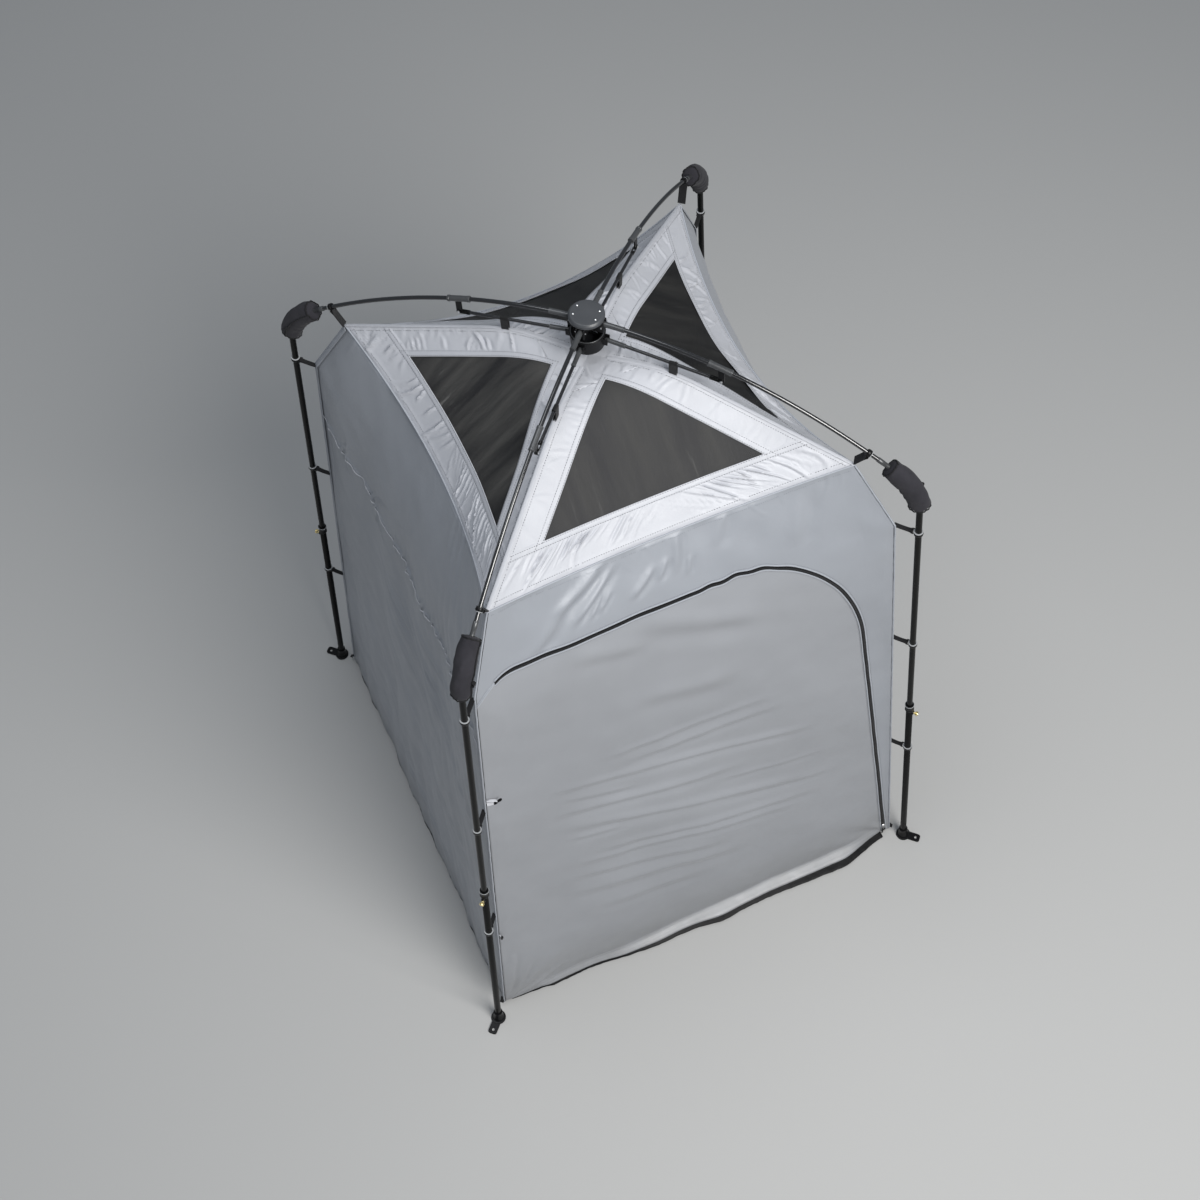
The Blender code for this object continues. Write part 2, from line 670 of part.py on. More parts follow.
def build_corner_webbing(corner):
    heights = [TAPE_BOTTOM_Z, 0.6, 1.2, SHOULDER_Z, ROOF_CORNER_Z, ROOF_CORNER_Z + TAPE_ABOVE_ROOF]
    sections = [tape_section(corner, z) for z in heights]
    tape = place_mesh("corner_webbing_" + corner, loft(sections), "webbing")
    up = Vector((0.0, 0.0, 1.0))
    leg_way = leg_point(corner, 1.0) - leg_point(corner, 0.0)
    rings = [(z, UPPER_TUBE_R) for z in RING_HEIGHTS_UPPER]
    rings.append((RING_HEIGHT_LOWER, LOWER_TUBE_R))
    for number, (z, tube_r) in enumerate(rings):
        tag = "_" + str(number) + "_" + corner
        centre = leg_point(corner, z)
        ring = ring_shape("ring_shape" + tag, centre, leg_way, tube_r)
        add_union(tape, ring)
        seam = tape_middle(corner, z)
        reach = (centre - seam).normalized()
        seam += reach * STRAP_START
        stop = centre - reach * (tube_r + RING_GAP + RING_WALL * STRAP_INTO_RING)
        strap = slab("strap_shape" + tag, seam, stop, up, STRAP_WIDTH, STRAP_THICK, "webbing")
        add_union(tape, strap)

    clip_centre = diagonal(corner, POLE_CLIP_RADIAL, pole_z(POLE_CLIP_RADIAL))
    clip_way = diagonal(corner, 1.0, -2.0 * POLE_ARCH * POLE_CLIP_RADIAL)
    clip = ring_shape("clip_shape_" + corner, clip_centre, clip_way, POLE_R)
    add_union(tape, clip)
    seam = tape_middle(corner, ROOF_CORNER_Z + TAPE_ABOVE_ROOF - STRAP_BELOW_TAPE_TOP)
    reach = (clip_centre - seam).normalized()
    stop = clip_centre - reach * (POLE_R + RING_GAP + RING_WALL * STRAP_INTO_RING)
    over = diagonal(corner, 0.0, 0.0, 1.0)
    strap = slab("top_strap_shape_" + corner, seam, stop, over, STRAP_WIDTH, STRAP_THICK, "webbing")
    add_union(tape, strap)


def build_strut_strap(corner):
    centre = diagonal(corner, STRUT_CLIP_RADIAL, strut_z(STRUT_CLIP_RADIAL))
    way = diagonal(corner, STRUT_END_RADIAL, strut_z(STRUT_END_RADIAL)) - centre
    ring = ring_shape("strut_strap_" + corner, centre, way, STRUT_R)
    foot = diagonal(corner, STRUT_CLIP_RADIAL, hip_z(STRUT_CLIP_RADIAL) + GAP * 2)
    top = centre - Vector((0.0, 0.0, STRUT_R + RING_GAP + RING_WALL * HIP_STRAP_INTO_RING))
    radial_way = diagonal(corner, 1.0, 0.0)
    strap = slab("hip_strap_shape_" + corner, foot, top, radial_way, STRAP_WIDTH, STRAP_THICK, "webbing")
    add_union(ring, strap)


def build_full_wall(side):
    # The side walls run out to the corner line; the back wall stops inside their faces.
    inset = 0.0 if side in ("left", "right") else CLOTH + WALL_EDGE_GAP
    ups = spread(WALL_BOTTOM, SHOULDER_Z / ROOF_CORNER_Z, 6) + [0.93, 0.965, WALL_TOP]
    rows = []
    for up in ups:
        reach = edge_across(up, inset)
        rows.append([(a, up) for a in spread(-reach, reach, 10)])
    cloth_shell(side + "_wall", wall_point, rows, side, "wall_fabric")


def build_front_wall():
    inset = CLOTH + WALL_EDGE_GAP
    lower = [(across, door_left_top(across)) for across in door_columns(DOOR_ARC_START)]
    lower += [(a, u) for a, u in door_arc()[1:] if u > STRIP_TOP + 0.005]
    lower += [(door_right(STRIP_TOP), STRIP_TOP), (STRIP_STEP, STRIP_TOP), (1.0, STRIP_TOP)]
    rows = []
    for share in (0.0, 0.2, 0.45, 0.72, 1.0):
        row = []
        for across, low in lower:
            up = low + (WALL_TOP - low) * share
            limit = edge_across(up, inset)
            row.append((max(-limit, min(limit, across)), up))
        rows.append(row)
    cloth_shell("front_wall_header", wall_point, rows, "front", "wall_fabric")

    rows = []
    for up in side_heights() + [DOOR_ARC_END[1], STRIP_TOP - DOOR_GAP_UP]:
        rows.append([(a, up) for a in spread(door_right(up), edge_across(up, inset), 2)])
    cloth_shell("front_wall_right_strip", wall_point, rows, "front", "wall_fabric")


def side_heights():
    # Rows that the door and the strip beside it share, so that their edges run in parallel.
    return spread(WALL_BOTTOM, DOOR_SIDE_MID[1], 4) + [(DOOR_SIDE_MID[1] + DOOR_ARC_END[1]) / 2.0]


def build_door():
    arc_ups = sorted(u for _, u in door_arc()[1:])
    ups = side_heights() + arc_ups[:-1] + [DOOR_TOP]
    top_columns = door_columns(DOOR_ARC_START)
    rows = []
    for up in ups:
        row = []
        left = -edge_across(up, CLOTH + WALL_EDGE_GAP)
        right = door_right(up) - DOOR_GAP_ACROSS
        for share, top_across in zip(DOOR_SHARES, top_columns):
            rise = up * door_left_top(top_across) / DOOR_TOP
            row.append((left + (right - left) * share, rise * (1.0 - DOOR_GAP_UP)))
        rows.append(row)
    return cloth_shell("door", wall_point, rows, "front", "wall_fabric")


def build_roof():
    hip_gap = SEAM_GAP / 2.0 * ROOT_TWO
    for side in SIDES:
        build_roof_panel(side, hip_gap)
        build_mesh_window(side)


def window_reach(out, trim=0.0):
    # Half width of the window, as a share of the panel's half width, at a distance out.
    half = out * ROOF_CORNER_HALF
    return max((half - WINDOW_HIP_MARGIN - trim) / half, 0.0)


def build_roof_panel(side, hip_gap):
    # The panel is a band round the window: down one hip, along the wall edge and up the other hip.
    window_tip = WINDOW_HIP_MARGIN / ROOF_CORNER_HALF + PANEL_TIP_OUT
    peak = HIP_PEAK_RADIAL / (ROOF_CORNER_HALF * ROOT_TWO)
    outs = [window_tip] + spread(peak, WINDOW_OUTER, 5)
    tip_limit = 1.0 - hip_gap / (ROOF_INNER * ROOF_CORNER_HALF)
    shape = [(-tip_limit, ROOF_INNER), (tip_limit, ROOF_INNER)]
    make_band_shell("roof_panel_" + side, side, outs, hip_gap, shape)


def make_band_shell(name, side, outs, hip_gap, tip):
    bm = bmesh.new()
    top = {}
    under = {}

    def vertex(key, across, out):
        if key not in top:
            point = turn_to_side(roof_point(across, out), side)
            top[key] = bm.verts.new(point)
            under[key] = bm.verts.new(point - Vector((0.0, 0.0, CLOTH)))
        return key

    quads = []
    last = len(outs) - 1
    for j, out in enumerate(outs):
        limit = 1.0 - hip_gap / (out * ROOF_CORNER_HALF)
        reach = window_reach(out)
        vertex(("l", j, 0), -limit, out)
        vertex(("l", j, 1), -reach, out)
        vertex(("r", j, 1), reach, out)
        vertex(("r", j, 0), limit, out)
    for j in range(last):
        quads.append((("l", j, 0), ("l", j + 1, 0), ("l", j + 1, 1), ("l", j, 1)))
        quads.append((("r", j, 1), ("r", j + 1, 1), ("r", j + 1, 0), ("r", j, 0)))
    # Tip between the two hips, above the window.
    vertex(("t", 0, 0), tip[0][0], tip[0][1])
    vertex(("t", 0, 1), tip[1][0], tip[1][1])
    quads.append((("t", 0, 0), ("l", 0, 0), ("l", 0, 1), ("r", 0, 1), ("r", 0, 0), ("t", 0, 1)))
    # Outer band between the window and the wall edge.
    columns = 10
    reach = window_reach(outs[last])
    limit_in = 1.0 - hip_gap / (outs[last] * ROOF_CORNER_HALF)
    limit_out = 1.0 - hip_gap / (ROOF_OUTER * ROOF_CORNER_HALF)
    inner_row = [("l", last, 0), ("l", last, 1)]
    for k in range(1, columns):
        across = -reach + 2.0 * reach * k / columns
        inner_row.append(vertex(("b", k, 0), across, outs[last]))
    inner_row += [("r", last, 1), ("r", last, 0)]
    outer_row = []
    for k in range(columns + 3):
        if k == 0:
            across = -limit_out
        elif k == columns + 2:
            across = limit_out
        else:
            across = -reach + 2.0 * reach * (k - 1) / columns
            across *= limit_out / limit_in
        outer_row.append(vertex(("o", k, 0), across, ROOF_OUTER))
    for k in range(columns + 2):
        quads.append((inner_row[k], outer_row[k], outer_row[k + 1], inner_row[k + 1]))
    edges = {}
    for quad in quads:
        # Both sheets are cut along the same diagonals, so that they stay one thickness apart.
        for second, third in zip(quad[1:], quad[2:]):
            bm.faces.new((top[quad[0]], top[second], top[third]))
            bm.faces.new((under[quad[0]], under[third], under[second]))
        for a, b in zip(quad, quad[1:] + quad[:1]):
            edges[(a, b)] = edges.get((a, b), 0) + 1
    for a, b in edges:
        if (b, a) not in edges:
            bm.faces.new((top[b], top[a], under[a], under[b]))
    return place_mesh(name, bm, "roof_fabric")


def window_point(across, out):
    return roof_point(across, out) - Vector((0.0, 0.0, MESH_SUNK))


def build_mesh_window(side):
    first = WINDOW_HIP_MARGIN / ROOF_CORNER_HALF + MESH_TIP_OUT
    rows = []
    for out in spread(first, WINDOW_OUTER - MESH_OUTER_GAP, 6):
        reach = window_reach(out, MESH_SIDE_GAP)
        rows.append([(a, out) for a in spread(-reach, reach, 6)])
    cloth_shell("roof_mesh_" + side, window_point, rows, side, "mesh", MESH_THICK, drop=True)


def build_mud_flaps():
    # One strip runs inside the left, back and right walls; the door carries its own.
    inset = CLOTH + FLAP_CLEAR
    outline = []
    for z in (FLAP_BOTTOM_Z, FLAP_TOP_Z):
        half = corner_half(z) - inset
        front = -half + FLAP_FRONT_GAP
        thin = half - FLAP_THICK
        outer = [(-half, front), (-half, half), (half, half), (half, front)]
        inner = [(thin, front), (thin, thin), (-thin, thin), (-thin, front)]
        outline.append([Vector((x, y, z)) for x, y in outer + inner])
    place_mesh("mud_flap", loft(outline), "flap")

    outline = []
    for z in (FLAP_BOTTOM_Z, FLAP_TOP_Z):
        half = corner_half(z) - inset
        left = -half + FLAP_CLEAR
        right = half * DOOR_SIDE_BASE[0] - FLAP_RIGHT_GAP
        corners = [(left, -half), (right, -half), (right, -half + FLAP_THICK), (left, -half + FLAP_THICK)]
        outline.append([Vector((x, y, z)) for x, y in corners])
    return place_mesh("door_mud_flap", loft(outline), "flap")


def build_tent():
    clear_scene()
    build_hubs()
    for corner in CORNERS:
        build_pole(corner)
        build_strut(corner)
        build_elbow_cover(corner)
        build_leg(corner)
        build_corner_webbing(corner)
        build_strut_strap(corner)
    for side in ("left", "right", "back"):
        build_full_wall(side)
    build_front_wall()
    door = build_door()
    build_roof()
    door_flap = build_mud_flaps()
    hinge_foot = Vector((-CORNER_BASE_HALF, -CORNER_BASE_HALF, 0.0))
    hinge_way = Vector((-CORNER_LEAN, -CORNER_LEAN, -1.0))
    hang_on_joint("door_swing", hinge_foot, hinge_way, [door, door_flap])


build_tent()
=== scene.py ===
# %% [markdown]
# # A quick-erect shower tent
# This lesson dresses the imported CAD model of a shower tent. The CAD gives every size: a square
# footprint, four telescopic legs, an umbrella frame of arched roof poles and struts round a hub,
# and a fabric cabin that hangs inside the frame on rings and straps. Here each CAD solid gets the
# look of the real piece: creased coated cloth, mesh windows, a zip, padded elbow covers, webbing
# and satin black tubes. The first cell loads the CAD as a fixed frame and keeps its box.

import math

import bmesh
import bpy
import numpy as np
from mathutils import Matrix, Vector


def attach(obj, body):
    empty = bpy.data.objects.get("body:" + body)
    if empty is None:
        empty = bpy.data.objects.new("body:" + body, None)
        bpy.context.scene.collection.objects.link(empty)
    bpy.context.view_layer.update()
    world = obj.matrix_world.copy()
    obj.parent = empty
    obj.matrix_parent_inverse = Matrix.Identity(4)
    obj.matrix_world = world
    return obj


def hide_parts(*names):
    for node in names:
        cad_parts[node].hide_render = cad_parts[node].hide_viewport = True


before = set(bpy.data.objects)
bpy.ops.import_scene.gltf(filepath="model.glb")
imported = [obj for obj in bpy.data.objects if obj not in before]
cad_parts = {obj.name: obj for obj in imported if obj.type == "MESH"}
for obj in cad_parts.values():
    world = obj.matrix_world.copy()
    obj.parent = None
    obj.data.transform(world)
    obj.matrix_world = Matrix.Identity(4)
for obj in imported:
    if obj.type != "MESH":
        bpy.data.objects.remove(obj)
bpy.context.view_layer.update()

# %% [markdown]
# The visual pieces must sit exactly where the CAD solids are. So the tent's driving sizes are
# repeated here in metres, with the origin on the ground in the middle of the footprint and the
# door facing -Y. Corners are named as seen by someone who stands outside the door.

# %% The tent's own sizes
ROOT_TWO = math.sqrt(2.0)
CORNERS = {"front_left": (-1, -1), "front_right": (1, -1), "back_right": (1, 1), "back_left": (-1, 1)}
SIDES = {"front": 0, "right": 1, "back": 2, "left": 3}
CABIN = "cabin_and_frame"

BASE_HALF = 0.667
BASE_LEAN = 0.0776
SHOULDER_Z = 1.645
ROOF_HALF = 0.4555
ROOF_EDGE_Z = 1.836
EDGE_PULL_IN = 0.057
EDGE_SAG = 0.070
ROOF_CENTRE_Z = 1.975
HIP_PEAK_RADIAL = 0.205
HIP_PEAK_Z = 1.994
PEAK_ROUNDING = 0.065
SHOULDER_ROUNDING = 0.12
SHOULDER_BEND = (BASE_HALF - BASE_LEAN * SHOULDER_Z - ROOF_HALF) / (ROOF_EDGE_Z - SHOULDER_Z) - BASE_LEAN

FOOT_HALF = 0.700
LEG_TOP_HALF = 0.573
LEG_TOP_Z = 1.735
POLE_HUB_Z = 2.096
POLE_ARCH = 0.450
POLE_END = 0.722
print("footprint", 2 * FOOT_HALF, "m, cabin base", 2 * BASE_HALF, "m, roof edge at", ROOF_EDGE_Z, "m")

# %% [markdown]
# A camera has to stand where the photographer stood, or nothing else can be compared. Its place,
# its turn and its focal length come from a fit of about forty known points of the tent, such as
# the feet, the hub and the roof corners. The tent was seen from high above the left front corner.

# %% Camera at the photograph's viewing angle
CAMERA_PLACE = Vector((-0.907, -2.287, 4.909))
CAMERA_YAW = math.radians(21.4)
CAMERA_DOWN = math.radians(58.49)
CAMERA_ROLL = math.radians(-3.64)
FOCAL_PIXELS = 1650.0
FRAME_PIXELS = 1200.0
SENSOR = 36.0

forward = Vector((math.sin(CAMERA_YAW) * math.cos(CAMERA_DOWN),
                  math.cos(CAMERA_YAW) * math.cos(CAMERA_DOWN), -math.sin(CAMERA_DOWN)))
level = Vector((math.cos(CAMERA_YAW), -math.sin(CAMERA_YAW), 0.0))
upright = level.cross(forward)
side_axis = level * math.cos(CAMERA_ROLL) + upright * math.sin(CAMERA_ROLL)
up_axis = upright * math.cos(CAMERA_ROLL) - level * math.sin(CAMERA_ROLL)
lens = bpy.data.cameras.new("photo_camera")
lens.sensor_width = SENSOR
lens.lens = FOCAL_PIXELS / FRAME_PIXELS * SENSOR
camera = bpy.data.objects.new("photo_camera", lens)
camera.matrix_world = Matrix((side_axis, up_axis, -forward)).transposed().to_4x4()
camera.location = CAMERA_PLACE
bpy.context.scene.collection.objects.link(camera)
bpy.context.scene.camera = camera
print("lens", round(lens.lens, 1), "mm at", tuple(CAMERA_PLACE))

# %% [markdown]
# The tent stood on grass under a bright, cloudy sky. Here it stands on a plain pale floor, lit as
# the sky lit it: one wide soft light high up in front, a weaker one overhead, and a pale blue world
# all round, so that the roof is brightest and the left wall is in shade.

# %% Floor and soft studio light
FLOOR_SIZE = 40.0
FLOOR_TONE = (0.42, 0.42, 0.415, 1.0)
SKY_TONE = (0.80, 0.89, 1.0, 1.0)
SKY_STRENGTH = 0.27

floor_mesh = bpy.data.meshes.new("floor")
edge = FLOOR_SIZE / 2
floor_corners = [(-edge, -edge, 0), (edge, -edge, 0), (edge, edge, 0), (-edge, edge, 0)]
floor_mesh.from_pydata(floor_corners, [], [(0, 1, 2, 3)])
floor = bpy.data.objects.new("floor", floor_mesh)
bpy.context.scene.collection.objects.link(floor)
floor_paint = bpy.data.materials.new("pale_floor")
floor_paint.use_nodes = True
floor_shader = floor_paint.node_tree.nodes["Principled BSDF"]
floor_shader.inputs["Base Color"].default_value = FLOOR_TONE
floor_shader.inputs["Roughness"].default_value = 0.9
floor_mesh.materials.append(floor_paint)


def soft_light(name, place, target, size, watts, colour):
    lamp = bpy.data.lights.new(name, "AREA")
    lamp.shape = "DISK"
    lamp.size = size
    lamp.energy = watts
    lamp.color = colour
    holder = bpy.data.objects.new(name, lamp)
    holder.location = place
    holder.rotation_euler = (Vector(target) - Vector(place)).to_track_quat("-Z", "Y").to_euler()
    bpy.context.scene.collection.objects.link(holder)


soft_light("sky_in_front", (1.1, -4.2, 5.4), (0.0, 0.0, 1.0), 3.4, 415.0, (1.0, 0.985, 0.96))
soft_light("sky_above", (-1.1, 0.4, 7.0), (0.0, 0.0, 1.2), 3.8, 118.0, (0.95, 0.97, 1.0))
world = bpy.data.worlds.new("pale_sky")
world.use_nodes = True
sky = world.node_tree.nodes["Background"]
sky.inputs["Color"].default_value = SKY_TONE
sky.inputs["Strength"].default_value = SKY_STRENGTH
bpy.context.scene.world = world
bpy.context.scene.view_settings.view_transform = "Standard"
print("stage: floor", FLOOR_SIZE, "m across and two soft lights")

# %% [markdown]
# Every material below is made of nodes. A small set of helpers keeps the recipes short: one adds a
# node, one joins two sockets, one mixes two colours, and one starts a material with its constant
# values set straight on the shader. Patterns read either Object coordinates or the cloth's own UV
# map, which is in metres.

# %% Helpers for node recipes
def add_node(tree, kind, **inputs):
    node = tree.nodes.new(kind)
    for name, value in inputs.items():
        node.inputs[name.replace("_", " ")].default_value = value
    return node


def join(tree, out_socket, in_socket):
    tree.links.new(out_socket, in_socket)


def start_material(name, roughness, metallic=0.0, **constants):
    material = bpy.data.materials.new(name)
    material.use_nodes = True
    shader = material.node_tree.nodes["Principled BSDF"]
    shader.inputs["Roughness"].default_value = roughness
    shader.inputs["Metallic"].default_value = metallic
    for socket, value in constants.items():
        shader.inputs[socket.replace("_", " ")].default_value = value
    return material, material.node_tree, shader


def object_place(tree):
    return tree.nodes.new("ShaderNodeTexCoord").outputs["Object"]


def cloth_place(tree):
    cloth = tree.nodes.new("ShaderNodeUVMap")
    cloth.uv_map = "cloth"
    return cloth.outputs["UV"]


def soft_noise(tree, coords, scale, detail=3.0, rough=0.5):
    noise = add_node(tree, "ShaderNodeTexNoise", Scale=scale, Detail=detail, Roughness=rough)
    join(tree, coords, noise.inputs["Vector"])
    return noise.outputs["Fac"]


def ramp(tree, value, stops):
    node = tree.nodes.new("ShaderNodeValToRGB")
    elements = node.color_ramp.elements
    while len(elements) < len(stops):
        elements.new(0.5)
    for element, (place, colour) in zip(elements, stops):
        element.position = place
        element.color = colour if len(colour) == 4 else (*colour, 1.0)
    join(tree, value, node.inputs["Fac"])
    return node.outputs["Color"]


def maths(tree, operation, first, second=None):
    node = tree.nodes.new("ShaderNodeMath")
    node.operation = operation
    if operation == "MULTIPLY_ADD":
        node.inputs[2].default_value = 1.0
    for socket, value in zip(node.inputs, (first, second)):
        if isinstance(value, (int, float)):
            socket.default_value = value
        elif value is not None:
            join(tree, value, socket)
    return node.outputs[0]


def bump(tree, height, distance, strength=1.0, under=None):
    node = add_node(tree, "ShaderNodeBump", Strength=strength, Distance=distance)
    join(tree, height, node.inputs["Height"])
    if under is not None:
        join(tree, under, node.inputs["Normal"])
    return node.outputs["Normal"]


def mixed(tree, share, first, second):
    # The first colour is a socket, and the second one a constant.
    mix = tree.nodes.new("ShaderNodeMix")
    mix.data_type = "RGBA"
    join(tree, share, mix.inputs["Factor"])
    join(tree, first, mix.inputs["A"])
    mix.inputs["B"].default_value = second
    return mix.outputs["Result"]


def shade(tone, amount):
    return tuple(min(1.0, c * amount) for c in tone)


def grey(level):
    return (level, level, level)


print("node helpers ready")

# %% [markdown]
# The cabin is woven polyester with a thin coating: almost flat grey, a soft satin sheen, and tiny
# crinkles that never quite press out. The weave is two crossing wave patterns on the cloth's UV
# map, fine enough to be felt more than seen. Above it lie two sizes of crinkle, and a slow change
# of tone with a little dust towards the ground. The roof is the same cloth, silver-coated and
# smoother, so it catches more of the sky.

# %% Coated polyester for the walls and the roof
WALL_GREY = (0.272, 0.288, 0.318)
# The door is the same cloth as the walls: this slightly darker, less blue copy is painted shade, for how the
# door is lit.
DOOR_GREY_AS_LIT = (0.276, 0.286, 0.308)
ROOF_SILVER = (0.420, 0.430, 0.462)
DUST_TONE = (0.16, 0.15, 0.125, 1.0)
DUST_HEIGHT = 0.22
THREADS_PER_METRE = 900.0


def weave_height(tree, coords, threads):
    # Two crossing sets of ribs, one per thread direction.
    split = tree.nodes.new("ShaderNodeSeparateXYZ")
    join(tree, coords, split.inputs["Vector"])
    ribs = []
    for axis in ("X", "Y"):
        turn = maths(tree, "MULTIPLY", split.outputs[axis], threads * 2.0 * math.pi)
        ribs.append(maths(tree, "SINE", turn))
    return maths(tree, "MULTIPLY", ribs[0], ribs[1])


def coated_cloth(name, tone, roughness, crinkle, dust, silver=0.0, shine=0.5):
    material, tree, shader = start_material(name, roughness, silver, Sheen_Weight=0.10,
                                            Sheen_Roughness=0.45, Specular_IOR_Level=shine)
    cloth = cloth_place(tree)
    place = object_place(tree)
    weave = weave_height(tree, cloth, THREADS_PER_METRE)
    fine = soft_noise(tree, place, 95.0, 4.0, 0.6)
    broad = soft_noise(tree, place, 17.0, 3.0, 0.55)
    # Beside the stitch rows the cloth is pulled together, so it crinkles more there.
    pulled = tree.nodes.new("ShaderNodeAttribute")
    pulled.attribute_name = "gather"
    fine = maths(tree, "MULTIPLY", fine, maths(tree, "MULTIPLY_ADD", pulled.outputs["Fac"], 3.4))
    normal = bump(tree, broad, crinkle * 3.0, 0.55)
    normal = bump(tree, fine, crinkle, 0.45, normal)
    normal = bump(tree, weave, 0.00012, 0.35, normal)
    join(tree, normal, shader.inputs["Normal"])
    drift = soft_noise(tree, place, 2.3, 4.0, 0.6)
    tones = ramp(tree, drift, [(0.25, shade(tone, 0.93)), (0.75, shade(tone, 1.06))])
    height = tree.nodes.new("ShaderNodeSeparateXYZ")
    join(tree, place, height.inputs["Vector"])
    low = ramp(tree, height.outputs["Z"], [(0.0, grey(dust)), (DUST_HEIGHT, grey(0.0))])
    spots = maths(tree, "MULTIPLY", low, soft_noise(tree, place, 26.0, 5.0, 0.7))
    join(tree, mixed(tree, spots, tones, DUST_TONE), shader.inputs["Base Color"])
    gloss = ramp(tree, broad, [(0.3, grey(roughness - 0.05)), (0.7, grey(roughness + 0.07))])
    join(tree, gloss, shader.inputs["Roughness"])
    return material


wall_cloth = coated_cloth("coated_wall_cloth", WALL_GREY, 0.44, 0.00040, 0.5, 0.05, 0.7)
door_cloth = coated_cloth("coated_door_cloth_as_lit", DOOR_GREY_AS_LIT, 0.44, 0.00040, 0.5, 0.05, 0.7)
roof_cloth = coated_cloth("silver_roof_cloth", ROOF_SILVER, 0.40, 0.00060, 0.0, 0.0, 0.45)
# The zip's piping is the wall cloth made lighter: partly the binding's own tone, partly a painted highlight
# along the zip's edges.
zip_piping_and_highlight = coated_cloth("zip_piping_and_highlight", shade(WALL_GREY, 1.30), 0.45, 0.00020, 0.2, 0.1, 0.7)
binding_cloth = coated_cloth("seam_binding", shade(WALL_GREY, 1.15), 0.50, 0.00020, 0.2)
print("cloth:", wall_cloth.name, roof_cloth.name, binding_cloth.name)

# %% [markdown]
# The roof windows are fine dark mesh. From a few metres it reads as a smoky see-through sheet, so
# the material is a dark thread colour whose alpha is cut by a grid of tiny holes. The grid follows
# the sheet's own UV map in metres. A slow noise paints paler bands, painted light on the mesh's
# soft folds, and a few patches get thin painted glints. Each window has its own tone: painted shade
# for how much light falls on and through its side.

# %% Mesh for the roof windows
HOLES_PER_METRE = 620.0
GLINT_TONE = (0.22, 0.22, 0.21, 1.0)


def stretched_noise(tree, coords, across, along, detail):
    # Noise that is drawn out along the cloth's second direction.
    shape = tree.nodes.new("ShaderNodeVectorMath")
    shape.operation = "MULTIPLY"
    shape.inputs[1].default_value = (across, along, 1.0)
    join(tree, coords, shape.inputs[0])
    return soft_noise(tree, shape.outputs["Vector"], 1.0, detail, 0.6)


def mesh_cloth(name, tone, painted_streaks):
    material, tree, shader = start_material(name, 0.55, Specular_IOR_Level=0.16)
    cloth = cloth_place(tree)
    place = object_place(tree)
    grid = weave_height(tree, cloth, HOLES_PER_METRE)
    threads = ramp(tree, maths(tree, "ABSOLUTE", grid), [(0.55, grey(1.0)), (0.80, grey(0.25))])
    join(tree, threads, shader.inputs["Alpha"])
    # Paler bands along a slow noise are painted light on the mesh's soft folds.
    soft = stretched_noise(tree, cloth, 16.0, 2.2, 3.0)
    pale = tuple(tone + painted_streaks * c for c in (0.060, 0.058, 0.054))
    tones = ramp(tree, soft, [(0.36, (tone, tone, tone * 1.06)), (0.70, pale)])
    # Thin painted glints, bright lines of painted reflection, show in a few patches only.
    glint = stretched_noise(tree, cloth, 95.0, 7.0, 4.0)
    patch = soft_noise(tree, place, 5.5, 1.0)
    few = maths(tree, "MULTIPLY", ramp(tree, glint, [(0.62, grey(0.0)), (0.74, grey(1.0))]),
                ramp(tree, patch, [(0.52, grey(0.0)), (0.62, grey(painted_streaks))]))
    join(tree, mixed(tree, few, tones, GLINT_TONE), shader.inputs["Base Color"])
    normal = bump(tree, soft, 0.006, 0.6)
    join(tree, bump(tree, grid, 0.0002, 0.4, normal), shader.inputs["Normal"])
    return material


# Each window's mesh is the same cloth in its own tone and with its own share of glints: painted shade and
# light for how that side is lit and seen through.
window_meshes_shaded_per_side = {
    "front": mesh_cloth("window_mesh_front", 0.036, 0.25),
    "right": mesh_cloth("window_mesh_right", 0.012, 0.30),
    "back": mesh_cloth("window_mesh_back", 0.012, 0.30),
    "left": mesh_cloth("window_mesh_left", 0.020, 1.0),
}
print("mesh for", len(window_meshes_shaded_per_side), "windows")

# %% [markdown]
# The tubes are steel with a satin black coating, so they show long soft highlights and only the
# slightest orange-peel texture. Moulded plastic is duller and finely grained. Bare metal shows at
# the rivets, the zip slider and the brass pull knobs. One recipe covers them all: a tone, a
# roughness, how metallic it is, the grain's size and how much the surface is rubbed.

# %% Hard finishes: coated steel, moulded plastic and bare metal
def hard_finish(name, tone, roughness, metallic, grain_scale, grain_depth, rub=0.0, shine=0.5):
    material, tree, shader = start_material(name, roughness, metallic, Specular_IOR_Level=shine)
    place = object_place(tree)
    grain = soft_noise(tree, place, grain_scale, 4.0, 0.6)
    join(tree, bump(tree, grain, grain_depth, 0.5), shader.inputs["Normal"])
    smudge = soft_noise(tree, place, 14.0, 5.0, 0.65)
    gloss = ramp(tree, smudge, [(0.3, grey(max(0.05, roughness - 0.06))), (0.75, grey(roughness + 0.10))])
    join(tree, gloss, shader.inputs["Roughness"])
    tones = ramp(tree, smudge, [(0.2, shade(tone, 0.9)), (0.8, shade(tone, 1.0 + 0.12 + rub))])
    join(tree, tones, shader.inputs["Base Color"])
    return material


